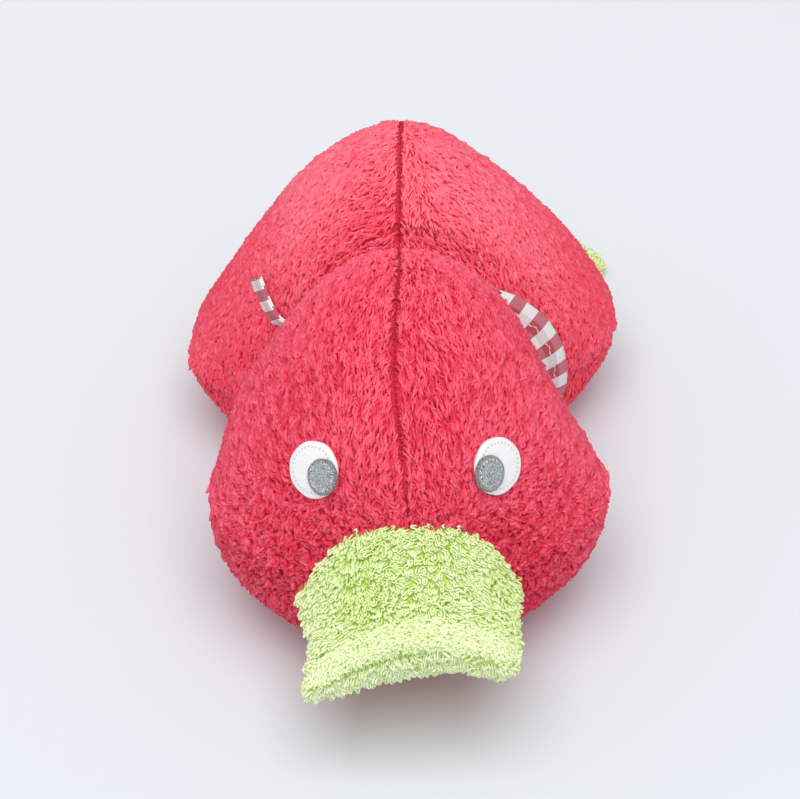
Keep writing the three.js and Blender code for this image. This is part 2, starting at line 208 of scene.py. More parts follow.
# Mesh writing: points in millimetres and rows of corners, all as arrays
def makePiece(name, points, faces, body, finish, uv=None, uvName="cloth", dyes=None):
    mesh = bpy.data.meshes.new(name)
    faces = np.asarray(faces, np.int32)
    mesh.vertices.add(len(points))
    mesh.vertices.foreach_set("co", (np.asarray(points) * millimetre).astype(np.float32).ravel())
    mesh.loops.add(faces.size)
    mesh.loops.foreach_set("vertex_index", faces.ravel())
    mesh.polygons.add(len(faces))
    mesh.polygons.foreach_set("loop_start", np.arange(len(faces), dtype=np.int32) * faces.shape[1])
    mesh.update(calc_edges=True)
    if uv is not None:
        layer = mesh.uv_layers.new(name=uvName)
        layer.uv.foreach_set("vector", np.asarray(uv, np.float32).ravel())
    if dyes is not None:
        colors = np.concatenate([dyes, np.ones((len(dyes), 1))], axis=1).astype(np.float32)
        mesh.attributes.new("dye", "FLOAT_COLOR", "POINT").data.foreach_set("color", colors.ravel())
    mesh.shade_smooth()
    mesh.materials.append(finish)
    piece = bpy.data.objects.new(name, mesh)
    bpy.context.scene.collection.objects.link(piece)
    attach(piece, body)
    return piece


def gridFaces(rows, columns, ringed=False):
    # four corners a face over a rows x columns grid; ringed joins the last column to the first
    last = columns if ringed else columns - 1
    r, c = np.meshgrid(np.arange(rows - 1), np.arange(last), indexing="ij")
    a = (r * columns + c).ravel()
    b = (r * columns + (c + 1) % columns).ravel()
    return np.stack([a, b, b + columns, a + columns], axis=1)


def shellFrom(points, normals, thickness, ringed=False):
    # a cloth shell: the grid, a copy set in by its thickness, and the hems that join them
    rows, columns = points.shape[:2]
    outer = points.reshape(-1, 3)
    inner = (points - normals * thickness).reshape(-1, 3)
    count = len(outer)
    faces = gridFaces(rows, columns, ringed)
    number = np.arange(count).reshape(rows, columns)
    if ringed:
        number = np.concatenate([number, number[:, :1]], axis=1)
    edges = [(number[0], 1), (number[-1], -1)]
    if not ringed:
        edges += [(number[:, 0], -1), (number[:, -1], 1)]
    hems = []
    for edge, way in edges:
        near, far = edge[:-1], edge[1:]
        hems.append(np.stack([near, near + count, far + count, far], axis=1)[:, ::way])
    return np.concatenate([outer, inner]), np.concatenate([faces, faces[:, ::-1] + count, *hems])


def facing(points, faces, way):
    # the faces turned so that the first one looks along a way
    first, second, third = points[faces[0, :3]]
    return faces[:, ::-1] if np.cross(second - first, third - first) @ way < 0 else faces


# Stuffed lobes, the same forms as the frame's. turn runs 0 to pi from the front tip to the rear one,
# lean runs across. across = sign(sin lean) |sin lean|^power, up = cos(lean)^power, and
# x = x0 + bend cos(turn) + crown sin(turn) up + halfWidth sin(turn)^power across
# y = y0 - reach cos(turn) + setback sin(turn)^2 up + side across^2 sin(turn)
# z = seam + rise sin(turn)^power up for the roof, and seam - depth sin(turn)^power up for the bowl
lobes = {
    "body": {
        "x": 1.0, "y": 0.0, "front": 52.0, "rear": 48.0, "halfWidth": 58.5, "seam": 25.0, "rise": 60.8,
        "depth": 25.5, "setback": 0.0, "crown": -2.4, "bend": -3.7, "side": (0.0, 6.5),
        "widthPower": (1.15, 1.9), "risePower": (0.8, 1.4), "depthPower": (0.7, 0.8),
        "roofPower": (1.13, 1.9), "bowlPower": (1.0, 0.75),
    },
    "head": {
        "x": -1.0, "y": -76.0, "front": 40.5, "rear": 47.0, "halfWidth": 50.0, "seam": 36.0, "rise": 54.5,
        "depth": 36.5, "setback": 11.5, "crown": -1.6, "bend": 0.0, "side": (-4.5, 0.0),
        "widthPower": (1.16, 1.13), "risePower": (0.72, 0.99), "depthPower": (0.79, 0.7),
        "roofPower": (0.87, 2.16), "bowlPower": (0.78, 0.75),
    },
}
neck = {
    "y": -44.0, "z": 38.0, "ball": 27.5, "gap": 0.7, "bodyLean": 8.0, "topLean": 10.0,
    "turn": 12.0, "lift": 10.0, "margin": 1.5,
}


def pickEnd(turn, pair):
    return np.where(turn < math.pi / 2, pair[0], pair[1])


def lobeTall(lobe, turn, roof):
    # how far the middle stands over the side seam, or hangs under it
    tall, powers = (lobe["rise"], lobe["risePower"]) if roof else (-lobe["depth"], lobe["depthPower"])
    return tall * np.sin(turn) ** pickEnd(turn, powers)


def lobeWide(lobe, turn):
    return lobe["halfWidth"] * np.sin(turn) ** pickEnd(turn, lobe["widthPower"])


def lobePoints(lobe, turn, lean, roof):
    swell = np.sin(turn)
    powers = lobe["roofPower" if roof else "bowlPower"]
    across = np.sign(lean) * np.abs(np.sin(lean)) ** powers[0]
    up = np.abs(np.cos(lean)) ** powers[1]
    ridge = up * roof
    reach = pickEnd(turn, (lobe["front"], lobe["rear"]))
    side = np.where(lean < 0, *lobe["side"]) * across ** 2 * swell
    middle = lobe["x"] + lobe["bend"] * np.cos(turn) + lobe["crown"] * swell * ridge
    return np.stack([
        middle + lobeWide(lobe, turn) * across,
        lobe["y"] - reach * np.cos(turn) + lobe["setback"] * swell ** 2 * ridge + side,
        lobe["seam"] + lobeTall(lobe, turn, roof) * up,
    ], axis=-1)


def grooveWall(x, z, towardsBody):
    # distance from the neck's middle line, and the y of the groove's wall there, as in the frame
    around, off = np.arctan2(x, z - neck["z"]), np.hypot(x, z - neck["z"])
    lean = neck["bodyLean"] + neck["topLean"] * ((1 + np.cos(around)) / 2) ** 2
    if not towardsBody:
        lean = lean - neck["turn"] * np.abs(np.sin(around)) - neck["lift"] * np.maximum(np.cos(around), 0)
        lean = lean - neck["margin"]
    return off, neck["y"] + off * np.tan(np.radians(lean))


def clearNeck(points, towardsBody):
    # points that reach over the neck groove are laid against its wall or into the ball's socket
    x, y, z = np.moveaxis(points, -1, 0)
    off, wall = grooveWall(x, z, towardsBody)
    radius, side = neck["ball"] + neck["gap"], 1 if towardsBody else -1
    socket = np.sqrt(np.maximum(radius ** 2 - off ** 2, 0))
    limit = np.maximum(side * wall, np.where(off < radius, side * neck["y"] + socket, -farOff))
    return np.stack([x, side * np.maximum(side * y, limit), np.maximum(z, 0.0)], axis=-1)


# The ribbon lies round the neck with its rear hem askew, bent forward low down on the right
ribbon = {
    "width": 10.5, "thickness": 0.5, "bowThickness": 0.4, "check": 3.5,
    "rear": -31.0, "yaw": 9.0, "bend": 0.2, "bendBelow": 44.0,
    "lift": 0.5, "pinch": 5.5, "reach": 6.0, "looser": 0.8, "looserFrom": 14.0,
    "gathers": 0.2, "gathersRight": 0.15, "fineGathers": 0.1, "proudRight": 1.1, "proudMiddle": 3.3,
}


def ribbonRear(x, z):
    low = np.clip(ribbon["bendBelow"] - z, 0, 40) * (x > 0)
    return ribbon["rear"] + math.tan(math.radians(ribbon["yaw"])) * x - ribbon["bend"] * low


def drawnIn(points):
    # the tied ribbon squeezes the body's neck: less on the right, where the ribbon stands proud
    x, y, z = np.moveaxis(points, -1, 0)
    near = ramp(ribbonRear(x, z) + ribbon["reach"] - y, 0, ribbon["reach"])
    near = near * near * (3 - 2 * near)
    off = np.maximum(np.hypot(x, z - neck["z"]), 1)
    amount = ribbon["pinch"] * near * (1 - ribbon["looser"] * ramp(x, ribbon["looserFrom"], 14)) / off
    return np.stack([x - x * amount, y, z - (z - neck["z"]) * amount], axis=-1)


# Soft swells and hollows of the flanks, seen in the photo: which half, push in mm to the right,
# then the share across and the turn of its middle, and how far it spreads in both
touches = {
    "body": [
        ("roof", -1.7, 0.33, 1.88, 0.2, 0.45), ("roof", -0.6, 0.75, 1.8, 0.15, 0.3),
        ("roof", 1.0, -0.56, 1.72, 0.2, 0.35), ("roof", -0.9, -0.3, 1.85, 0.12, 0.3),
        ("both", -1.7, 1.0, 1.68, 0.15, 0.2), ("both", -2.6, 1.0, 0.98, 0.15, 0.2),
        ("both", 0.7, -1.0, 1.62, 0.15, 0.15), ("both", -1.2, -1.0, 1.28, 0.15, 0.15),
        ("both", 1.6, -1.0, 0.96, 0.15, 0.15),
    ],
    "head": [
        ("roof", -1.7, 0.82, 2.0, 0.17, 0.55), ("roof", -3.2, 0.58, 1.75, 0.19, 0.3),
        ("both", -1.5, 1.0, 1.8, 0.14, 0.2), ("roof", 1.0, -0.82, 2.0, 0.17, 0.55),
        ("roof", -1.9, -0.6, 1.8, 0.22, 0.3), ("roof", 1.0, -1.0, 1.15, 0.14, 0.35),
        ("bowl", 1.7, -0.72, 1.1, 0.25, 0.35), ("bowl", -1.6, 0.6, 0.95, 0.22, 0.3),
    ],
}
# The centre seams wander off the middle towards the front, and a fold crosses the crown's right
seams = {
    "body": {"off": 0.022, "rear": 0.75, "run": 0.4, "power": 1.0, "depth": 0.35},
    "head": {"off": -0.036, "rear": 0.62, "run": 0.34, "power": 1.7, "depth": 0.5},
    "hollow": 0.9, "rimDepth": 0.4, "rimSpread": 0.04, "away": 100,
    "fold": {"y": -58.6, "slope": 0.06, "from": -0.5, "to": 9.0, "above": 70.0, "depth": 0.9},
}


# A panel of a lobe as a surface of u and v, both 0 to 1: u from front to rear, v across
def panelSurface(lobeName, roof, sides=(-1.0, 1.0)):
    lobe, seam, fold = lobes[lobeName], seams[lobeName], seams["fold"]
    tip = 0.004

    def seamShare(u):
        wander = seam["off"] * ramp(u, seam["rear"], -seam["run"]) ** seam["power"]
        return wander * (sides != (-1.0, 1.0))

    def shareAcross(u, v):
        left, right = (seamShare(u) if end == 0 else end for end in sides)
        return left + (right - left) * v

    def surface(u, v):
        turn = math.pi * (tip + (1 - 2 * tip) * u)
        share = shareAcross(u, v)
        points = lobePoints(lobe, turn, share * math.pi / 2, roof)
        for only, push, shareAt, turnAt, shareSpread, turnSpread in touches[lobeName]:
            if only != ("bowl" if roof else "roof"):
                points[..., 0] += push * hump(share, shareAt, shareSpread) * hump(turn, turnAt, turnSpread)
        if lobeName == "body":
            points = drawnIn(points)
        return clearNeck(points, lobeName == "body")

    def seamGap(u, v):
        # distance from the centre seam, in mm; far everywhere on a bowl, which has none
        def across(share):
            return np.sign(share) * np.abs(np.sin(share * math.pi / 2)) ** lobe["roofPower"][0]
        off = np.abs(across(shareAcross(u, v)) - across(seamShare(u)))
        return lobeWide(lobe, math.pi * u) * off + (0 if roof else seams["away"])

    def creaseGap(place):
        # distance from the fold on the crown, in mm
        x, y, z = np.moveaxis(place, -1, 0)
        beyond = np.clip(x - fold["to"], 0, None) + np.clip(fold["from"] - x, 0, None)
        gap = np.hypot(y - fold["y"] + fold["slope"] * x, beyond)
        return gap + seams["away"] * ((z < fold["above"]) + (not (roof and lobeName == "head")))

    def seamDepth(u, v):
        # how far the cloth is drawn in at the seams and the fold, in mm
        centre = hump(seamGap(u, v), 0, seams["hollow"]) * np.clip(np.sin(math.pi * u) * 3, 0, 1)
        rim = hump(np.abs(shareAcross(u, v)), 1, seams["rimSpread"])
        crease = hump(creaseGap(surface(u, v)), 0, seams["hollow"])
        return seam["depth"] * centre + seams["rimDepth"] * rim + fold["depth"] * crease

    surface.seamDepth, surface.seamGap, surface.creaseGap = seamDepth, seamGap, creaseGap
    surface.upright = 1 if roof else -1
    return surface


def frameAt(surface, u, v):
    # place, outward normal, way forward and way across, from small steps of the surface
    u0, u1 = np.clip(u - fineStep, 0, 1), np.clip(u + fineStep, 0, 1)
    v0, v1 = np.clip(v - fineStep, 0, 1), np.clip(v + fineStep, 0, 1)
    along = unit(surface(u1, v) - surface(u0, v))
    across = unit(surface(u, v1) - surface(u, v0))
    return surface(u, v), unit(np.cross(across, along)) * surface.upright, -along, across


spread = {"rows": 220, "columns": 160, "rowStep": 0.7548776662466927, "columnStep": 0.5698402909980532}


def scatter(surface, density, seed, stray):
    # an even spread by area: steps of two fixed shares through the running sums of a grid's cell
    # areas, then a little shaken; stray gives how far and how near to the edge, for u and for v
    rows, columns = spread["rows"], spread["columns"]
    p = surface(*gridOf(rows + 1, columns + 1))
    cell = np.linalg.norm(np.cross(p[1:, 1:] - p[:-1, :-1], p[1:, :-1] - p[:-1, 1:]), axis=-1) / 2
    rowSum = np.concatenate([[0], np.cumsum(cell.sum(axis=1))])
    area = rowSum[-1]
    count = int(area * density)
    number = np.arange(count) + seed * 0.37
    first = (0.5 + spread["rowStep"] * number) % 1 * area
    second = (0.5 + spread["columnStep"] * number) % 1
    row = np.clip(np.searchsorted(rowSum, first, side="right") - 1, 0, rows - 1)
    within = (first - rowSum[row]) / np.maximum(rowSum[row + 1] - rowSum[row], 1e-12)
    shares = np.concatenate([np.zeros((rows, 1)), np.cumsum(cell, axis=1)], axis=1)
    shares = shares / shares[:, -1:]
    flat = (shares + np.arange(rows)[:, None] * 2).ravel()
    found = np.searchsorted(flat, second + row * 2, side="right") - 1 - row * (columns + 1)
    found = np.clip(found, 0, columns - 1)
    left, right = shares[row, found], shares[row, found + 1]
    inside = (second - left) / np.maximum(right - left, 1e-12)
    u, v = (
        np.clip(part + rng.normal(0, far, count), low, 1 - low)
        for part, (far, low) in zip(((row + within) / rows, (found + inside) / columns), stray)
    )
    return u, v, area


# Yarn: three-sided tubes along curved middle lines, all made in one pass. lines is (count, stations,
# 3), radii is (count, stations), sideways is a way square to each line, with the shape of lines
def tubes(lines, radii, sideways):
    count, stations = lines.shape[:2]
    along = unit(np.gradient(lines, axis=1))
    side = unit(sideways - along * np.sum(sideways * along, axis=-1, keepdims=True))
    rise = np.cross(along, side)
    angles = np.radians([90.0, 210.0, 330.0])[:, None]
    ring = np.cos(angles) * side[:, :, None] + np.sin(angles) * rise[:, :, None]
    points = (lines[:, :, None] + ring * radii[:, :, None, None]).reshape(-1, 3)
    s, k = (part.ravel() for part in np.meshgrid(np.arange(stations - 1), np.arange(3), indexing="ij"))
    a, b = s * 3 + k, s * 3 + (k + 1) % 3
    top = (stations - 1) * 3
    sides = np.stack([a, b, b + 3, a, b + 3, a + 3], axis=1).reshape(-1, 3)
    faces = np.concatenate([sides, [[0, 2, 1], [top, top + 1, top + 2]]])
    # each tube has its own cell of the bake map: a column for each side and a strip for the ends
    x0, x1 = k * 0.26 + 0.02, k * 0.26 + 0.26
    y0, y1 = (step / (stations - 1) * 0.94 + 0.03 for step in (s, s + 1))
    sideMap = np.stack([x0, y0, x1, y0, x1, y1, x0, y0, x1, y1, x0, y1], axis=1).reshape(-1, 3, 2)
    ends = [[[0.82, 0.04], [0.97, 0.04], [0.9, 0.4]], [[0.82, 0.55], [0.97, 0.55], [0.9, 0.95]]]
    cellMap = np.concatenate([sideMap, ends])
    cells, number = math.ceil(math.sqrt(count)), np.arange(count)
    corner = np.stack([number % cells, number // cells], axis=1)
    uv = (cellMap + corner[:, None, None]) / cells
    return points, (faces + (number * stations * 3)[:, None, None]).reshape(-1, 3), uv.reshape(-1, 2)


def layYarn(name, lines, radii, sideways, dyes, u, upTo, body, finish):
    # shared out from front to rear over a few pieces, each with a bake map of its own
    count = len(lines)
    order, parts = np.argsort(u, kind="stable"), math.ceil(count / upTo)
    radii = np.broadcast_to(radii, lines.shape[:2])
    sideways = np.broadcast_to(sideways[:, None], lines.shape)
    for part in range(parts):
        chosen = order[part * count // parts:(part + 1) * count // parts]
        points, faces, uv = tubes(lines[chosen], radii[chosen], sideways[chosen])
        points[:, 2] = np.maximum(points[:, 2], 0.03)
        own = dyes[chosen].reshape(-1, 3)
        makePiece(f"{name}_{part + 1}", points, faces, body, finish, uv, "OFBake", own)


def makeSeam(name, line, normal, body, finish, look):
    # a sewn seam: a cord in short lengths along the line, and a stitch across it at every other one
    line = line - normal * look["sink"]
    middle, along = (line[1:] + line[:-1]) / 2, line[1:] - line[:-1]
    normal = (normal[1:] + normal[:-1]) / 2
    count = len(middle)
    steps = np.array([-0.7, 0.0, 0.7])[:, None]
    lift = look["radius"] * np.array([0.1, 1.1, 0.1])[:, None]
    across = unit(np.cross(normal, along)) + 0.35 * unit(along)
    cord = middle[:, None] + along[:, None] * steps
    stitch = middle[:, None] + across[:, None] * (steps * 1.1) + normal[:, None] * lift
    lines = np.concatenate([cord, stitch[::2]])
    sideways = np.cross(lines[:, 2] - lines[:, 0], np.concatenate([normal, normal[::2]]))
    radii = np.where(np.arange(len(lines)) < count, look["radius"], look["stitchRadius"])
    radii, sideways = radii[:, None] * np.ones(3), np.broadcast_to(sideways[:, None], lines.shape)
    points, faces, uv = tubes(lines, radii, sideways)
    dyes = np.where((np.arange(len(points)) < count * 9)[:, None], look["cord"], look["stitch"])
    return makePiece(name, points, faces, body, finish, uv, "OFBake", dyes)


skin = {"thickness": 1.2, "overTable": 0.05}


def makeSkin(node, surface, body, finish, inset, rows=100, columns=60, thinRim=False, filling=()):
    u, v = gridOf(rows, columns)
    place, normal, _, _ = frameAt(surface, u, v)
    # towards the rim of a thin pad the skin comes up under the seam
    rim = np.clip(np.sin(math.pi * v) * 1.4, 0.12, 1) if thinRim else np.ones_like(v)
    place = place - normal * (inset * rim + surface.seamDepth(u, v))[..., None]
    place[..., 2] = np.maximum(place[..., 2], skin["overTable"])
    points, faces = shellFrom(place, normal * rim[..., None], skin["thickness"])
    piece = makePiece("skin_" + node, points, faces[:, ::-surface.upright], body, finish)
    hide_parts(node, *filling)


def sway(points, scale, seed):
    # a slow wandering number between -1 and 1 over space, from three sets of crossed waves
    turn = np.array([[1.0, 0.31, 0.22], [-0.4, 1.0, 0.37], [0.25, -0.45, 1.0]])
    p = points @ turn / scale + seed
    waves = np.sin(p + 1.7 * np.sin(np.roll(p, 1, axis=-1) * 0.83 + seed))
    return waves.sum(axis=-1) / 3


def shadesAt(three, share):
    # from the first dye over the second to the third, by shares from 0 to 1
    first, second, third = three
    share = np.clip(share, 0, 1)[..., None]
    low, high = first + (second - first) * share * 2, second + (third - second) * (share * 2 - 1)
    return np.where(share < 0.5, low, high)


# Red terry: density in strands per square mm, the rest in mm and shares. Each strand stands up from
# its root and lies down along the nap, by the stations' lift and thickness
redLook = {
    "rise": 1.4, "inset": 1.75, "skinInset": 0.8, "underLength": 2.9, "piecesUpTo": 9200,
    "bareSeam": 0.36, "bareFold": 0.6, "bareGroove": 0.6, "grooveHeight": 40,
    "stations": (0.0, 0.3, 0.68, 1.0), "lift": (0.0, 0.84, 1.0, 0.7), "thickness": (0.6, 1.0, 1.05, 0.62),
    # on the next line, painted shade: strands dyed darker towards their roots and on their two lower sides,
    # paler on top
    "paintedRootShade": (0.0, 0.6, 0.95, 1.0), "cornerPaintedShade": (0.12, -0.3, -0.3),
    "wildUnder": (70, 24), "wildBefore": (-84, 10), "crownBehind": (-58, 4), "crownAbove": 76,
    "seam": {
        "radius": 0.18, "stitchRadius": 0.13, "sink": 0.35,
        "cord": dye(176, 24, 54), "stitch": dye(214, 48, 78),
    },
    "head": {
        "density": 1.5, "underDensity": 0.85, "length": 3.1, "radius": 0.52,
        "clumpPull": 0.9, "clumpRise": 0.52, "clumpPaintedShade": 0.3,
        "dyes": (dye(188, 16, 44), dye(226, 58, 86), dye(250, 112, 136)),
    },
    "body": {
        "density": 1.4, "underDensity": 0.5, "length": 3.0, "radius": 0.48,
        "clumpPull": 0.5, "clumpRise": 0.4, "clumpPaintedShade": 0.12,
        # paler than the head's dyes: painted light on the body's upward-facing back
        "dyes": (dye(222, 36, 62), dye(242, 88, 112), dye(254, 138, 156)),
    },
}


def layPile(node, lobeName, surface, density, body, length, napAt, seed):
    look = redLook[lobeName]
    u, v, area = scatter(surface, density, seed, ((0.0012, 0.001), (0.0018, 0.001)))
    place, normal, forward, across = frameAt(surface, u, v)
    # none stands on the centre seam or in the fold, and few deep in the neck groove
    off, wall = grooveWall(place[:, 0], place[:, 2], body == "torso")
    hidden = (np.abs(place[:, 1] - wall) < redLook["bareGroove"]) & (off < redLook["grooveHeight"])
    gap = surface.seamGap(u, v)
    kept = (gap > redLook["bareSeam"]) & (surface.creaseGap(place) > redLook["bareFold"])
    kept &= ~(hidden & (np.arange(len(u)) % 3 > 0))
    u, v, place, normal, forward, across, gap = (
        part[kept] for part in (u, v, place, normal, forward, across, gap)
    )
    count = len(u)
    x, y, z = place.T
    nap = napAt(place, v, forward, across)
    # low on the head's front the pile is shorter and curled every way, and dyed darker there as painted shade
    (top, drop), (front, run) = redLook["wildUnder"], redLook["wildBefore"]
    wild = ramp(z, top, -drop) * ramp(y, front, -run)
    stray = sway(place, 5.0, seed) * (0.3 + 0.5 * wild) + rng.normal(0, 1, count) * (0.2 + 0.4 * wild)
    stray = (stray * np.clip(gap / 3, 0.25, 1))[:, None]
    nap = unit(nap * np.cos(stray) + unit(np.cross(normal, nap)) * np.sin(stray))
    side = np.cross(normal, nap)
    stations, lift = np.array(redLook["stations"]), np.array(redLook["lift"])
    reach = (length * rng.uniform(0.75, 1.2, count) * (1 - 0.5 * wild))[:, None]

    # the pile gathers in clumps a few mm across: strands lean to a clump's middle, which stands higher
    def clumpAt(where):
        return sway(where * np.array([1.5, 0.6, 0.9]), 0.8, seed + 9)

    clump = clumpAt(place)
    pull = (clumpAt(place + side * 0.4) - clumpAt(place - side * 0.4)) * look["clumpPull"]
    tall = redLook["rise"] * rng.uniform(0.75, 1.15, count) + look["clumpRise"] * clump + 0.25 * wild
    curl = (rng.normal(0, 0.3, count) * (1 + wild))[:, None] * np.sin(stations * math.pi * 1.4 + 0.3)
    curl = curl + rng.normal(0, 0.08, (count, len(stations)))
    root = place - normal * (redLook["inset"] + surface.seamDepth(u, v) * 0.9)[:, None]
    lines = (
        root[:, None]
        + nap[:, None] * (reach * stations)[..., None]
        + normal[:, None] * (tall[:, None] * lift)[..., None]
        + side[:, None] * (curl + pull[:, None] * stations ** 1.5)[..., None]
    )
    blunt = wild[:, None] * np.array([0, 0, 0.05, 0.3])
    thick = look["radius"] * (np.array(redLook["thickness"]) + blunt)
    thick = thick * (rng.uniform(0.85, 1.15, count) * (1 + 0.25 * wild))[:, None]
    # painted light and shade: the raised middles of clumps are dyed paler and the hollows between them darker
    tone = 0.5 + 0.18 * rng.normal(0, 1, count) + look["clumpPaintedShade"] * clump
    # the last term is painted shade low on the middle of the head's front
    tone = tone + 0.15 * sway(place, 11.0, seed + 3) - 0.35 * wild * ramp(np.abs(x), 44, -16)
    # painted light: the crown is dyed paler, a highlight on the head's top, and the body darker towards the
    # neck, as shade under the head, and down its sides, as shade away from the lamp
    if body == "head":
        tone = tone + 0.22 * ramp(y, *redLook["crownBehind"]) * (z > redLook["crownAbove"])
    else:
        tone = tone - 0.2 * ramp(y, -14, -10) - 0.35 * ramp(np.abs(x), 26, 22)
    # painted light and shade: each strand's top corner is dyed paler and its two lower sides darker
    # along each strand the dye is painted darker towards the root, as shade deep in the pile
    share = np.clip(tone, 0, 1)[:, None, None] * 0.6 + np.array(redLook["paintedRootShade"])[:, None] * 0.4
    dyes = shadesAt(look["dyes"], share + np.array(redLook["cornerPaintedShade"]))
    layYarn("pile_" + node, lines, thick, side, dyes, u, redLook["piecesUpTo"], body, redPile)
    print("pile_" + node, "strands", count, "over", round(float(area)), "square mm")


# Which way the nap lies: forward, with a lean outwards that is greatest beside the centre seam.
# Degrees at the seam, degrees gained over the run in mm, and a hump beside the seam, left and right
naps = {
    "head": {"least": 0, "gain": 16, "run": 4, "beside": (8, 14), "at": 7, "spread": 5},
    "body": {"least": 4, "gain": 48, "run": 7, "beside": (14, 14), "at": 11, "spread": 6},
}


def napOutwards(lobeName, sign):
    look = naps[lobeName]

    def napAt(place, v, forward, across):
        off = np.abs(place[:, 0] - lobes[lobeName]["x"])
        lean = look["least"] + look["gain"] * ramp(off, 0, look["run"])
        lean = np.radians(lean + look["beside"][sign > 0] * hump(off, look["at"], look["spread"]))[:, None]
        return unit(forward * np.cos(lean) + across * sign * np.sin(lean))
    return napAt


def napInwards(place, v, forward, across):
    return unit(forward * 0.5 + across * np.where(v < 0.5, 1, -1)[:, None])


for lobeName, body, panel in (("body", "torso", "back_panel_"), ("head", "head", "head_panel_")):
    for word, sign, sides in (("left", -1, (-1.0, 0.0)), ("right", 1, (0.0, 1.0))):
        node = panel + word
        surface, look = panelSurface(lobeName, True, sides), redLook[lobeName]
        makeSkin(node, surface, body, redGround, redLook["skinInset"])
        nap = napOutwards(lobeName, sign)
        layPile(node, lobeName, surface, look["density"], body, look["length"], nap, 11 + len(node) + sign)
for node, lobeName, body, u in (
    ("belly_panel", "body", "torso", np.linspace(0.25, 0.97, 150)),
    ("chin_panel", "head", "head", np.linspace(0.17, 0.72, 110)),
):
    line, normal, _, _ = frameAt(panelSurface(lobeName, True, (0.0, 1.0)), u, np.full(len(u), 0.002))
    normal[:, 0] = 0
    makeSeam("seam_" + lobeName, line, unit(normal), body, redPile, redLook["seam"])
    surface, density = panelSurface(lobeName, False), redLook[lobeName]["underDensity"]
    filling = [lobeName + "_filling"]
    makeSkin(node, surface, body, redGround, redLook["skinInset"], columns=80, filling=filling)
    layPile(node, lobeName, surface, density, body, redLook["underLength"], napInwards, 31 + len(node))
print("skins and pile laid")


def lobeCover(lobe, x, y, z=None):
    # heights of a lobe's roof and bowl over and under a place, by stepping towards the turn and the
    # share across that give it; outside the side seam both are far away
    heights = []
    for roof in (True, False):
        powers = lobe["roofPower" if roof else "bowlPower"]
        turn, share, up = (np.full(np.shape(x), start) for start in (math.pi / 2, 0.0, 0.0))
        for _ in range(14):
            swell = np.sin(turn)
            side = np.where(share < 0, *lobe["side"]) * np.minimum(share ** 2, 1) * swell
            setback = lobe["setback"] * swell ** 2 * up * roof
            reach = pickEnd(turn, (lobe["front"], lobe["rear"]))
            turn = np.arccos(np.clip((lobe["y"] + setback + side - y) / reach, -0.999, 0.999))
            ridge = lobe["crown"] * np.sin(turn) * up * roof
            share = (x - lobe["x"] - lobe["bend"] * np.cos(turn) - ridge) / lobeWide(lobe, turn)
            lean = np.arcsin(np.clip(np.abs(share), 0, 1) ** (1 / powers[0]))
            up = np.cos(lean) ** powers[1]
            if z is not None and roof:
                up = np.clip((z - lobe["seam"]) / lobeTall(lobe, turn, True), 0, 1)
        height = lobe["seam"] + lobeTall(lobe, turn, roof) * np.cos(lean) ** powers[1]
        heights.append(np.where(np.abs(share) < 1, height, -farOff if roof else farOff))
    return heights


# Bill: a flat pad, arched across and bent down towards its lip. For each share of its reach there
# are shares of its half width, arch and drop, and of its thickness over and under the rim seam;
# across = -cos(angle), z = seam height at across, plus or minus thickness times sin(angle)
bill = {
    "reach": 66.0, "halfWidth": 28.2, "depth": 12.4, "arch": 21.0, "rootY": -76.0, "rootHeight": 54.5,
    "drop": 14.5, "twist": 2.7, "shift": -2.5, "start": 0.44, "tipDroop": 1.5, "rightRoot": 0.05,
    "lipHollow": 1.3, "lipFrom": (0.57, 0.05), "lipShorter": 0.42, "lipPaintedHighlight": 0.24, "leftPaler": 0.45,
    "underPaler": 0.1, "hangFrom": 0.72, "lipLoopsFrom": 0.87, "loopLean": (8, 55), "lipLean": (8, 40),
    "along": (0.3, 0.5, 0.61, 0.7, 0.78, 0.86, 0.93, 0.97, 0.99, 1.0),
    "widthShares": (1.03, 1.0, 0.97, 0.94, 0.91, 0.89, 0.87, 0.83, 0.78, 0.72),
    "archShares": (1.05, 1.02, 0.94, 0.78, 0.58, 0.46, 0.4, 0.36, 0.32, 0.31),
    "dropShares": (0.0, 0.12, 0.4, 0.66, 0.87, 0.97, 1.0, 0.98, 0.97, 0.97),
    "overShares": (0.46, 0.46, 0.44, 0.39, 0.31, 0.21, 0.28, 0.24, 0.15, 0.0),
    "underShares": (0.54, 0.54, 0.56, 0.6, 0.66, 0.76, 0.78, 0.7, 0.5, 0.0),
    "leftShares": (-0.02, -0.04, -0.08, -0.11, -0.1, -0.05, 0.0, 0.05, 0.07, 0.09),
}
padInset = 0.5


def shareAt(pad, key, along):
    # the station shares joined by straight lines and then rounded
    fine = np.linspace(pad["along"][0], pad["along"][-1], 500)
    return np.interp(along, fine, rounded(np.interp(fine, pad["along"], pad[key]), 12))


def rimDepth(v):
    return 0.3 * hump(np.abs(2 * v - 1), 1, 1 / 30)


def padAngle(v):
    return math.pi * (0.002 + 0.996 * v)


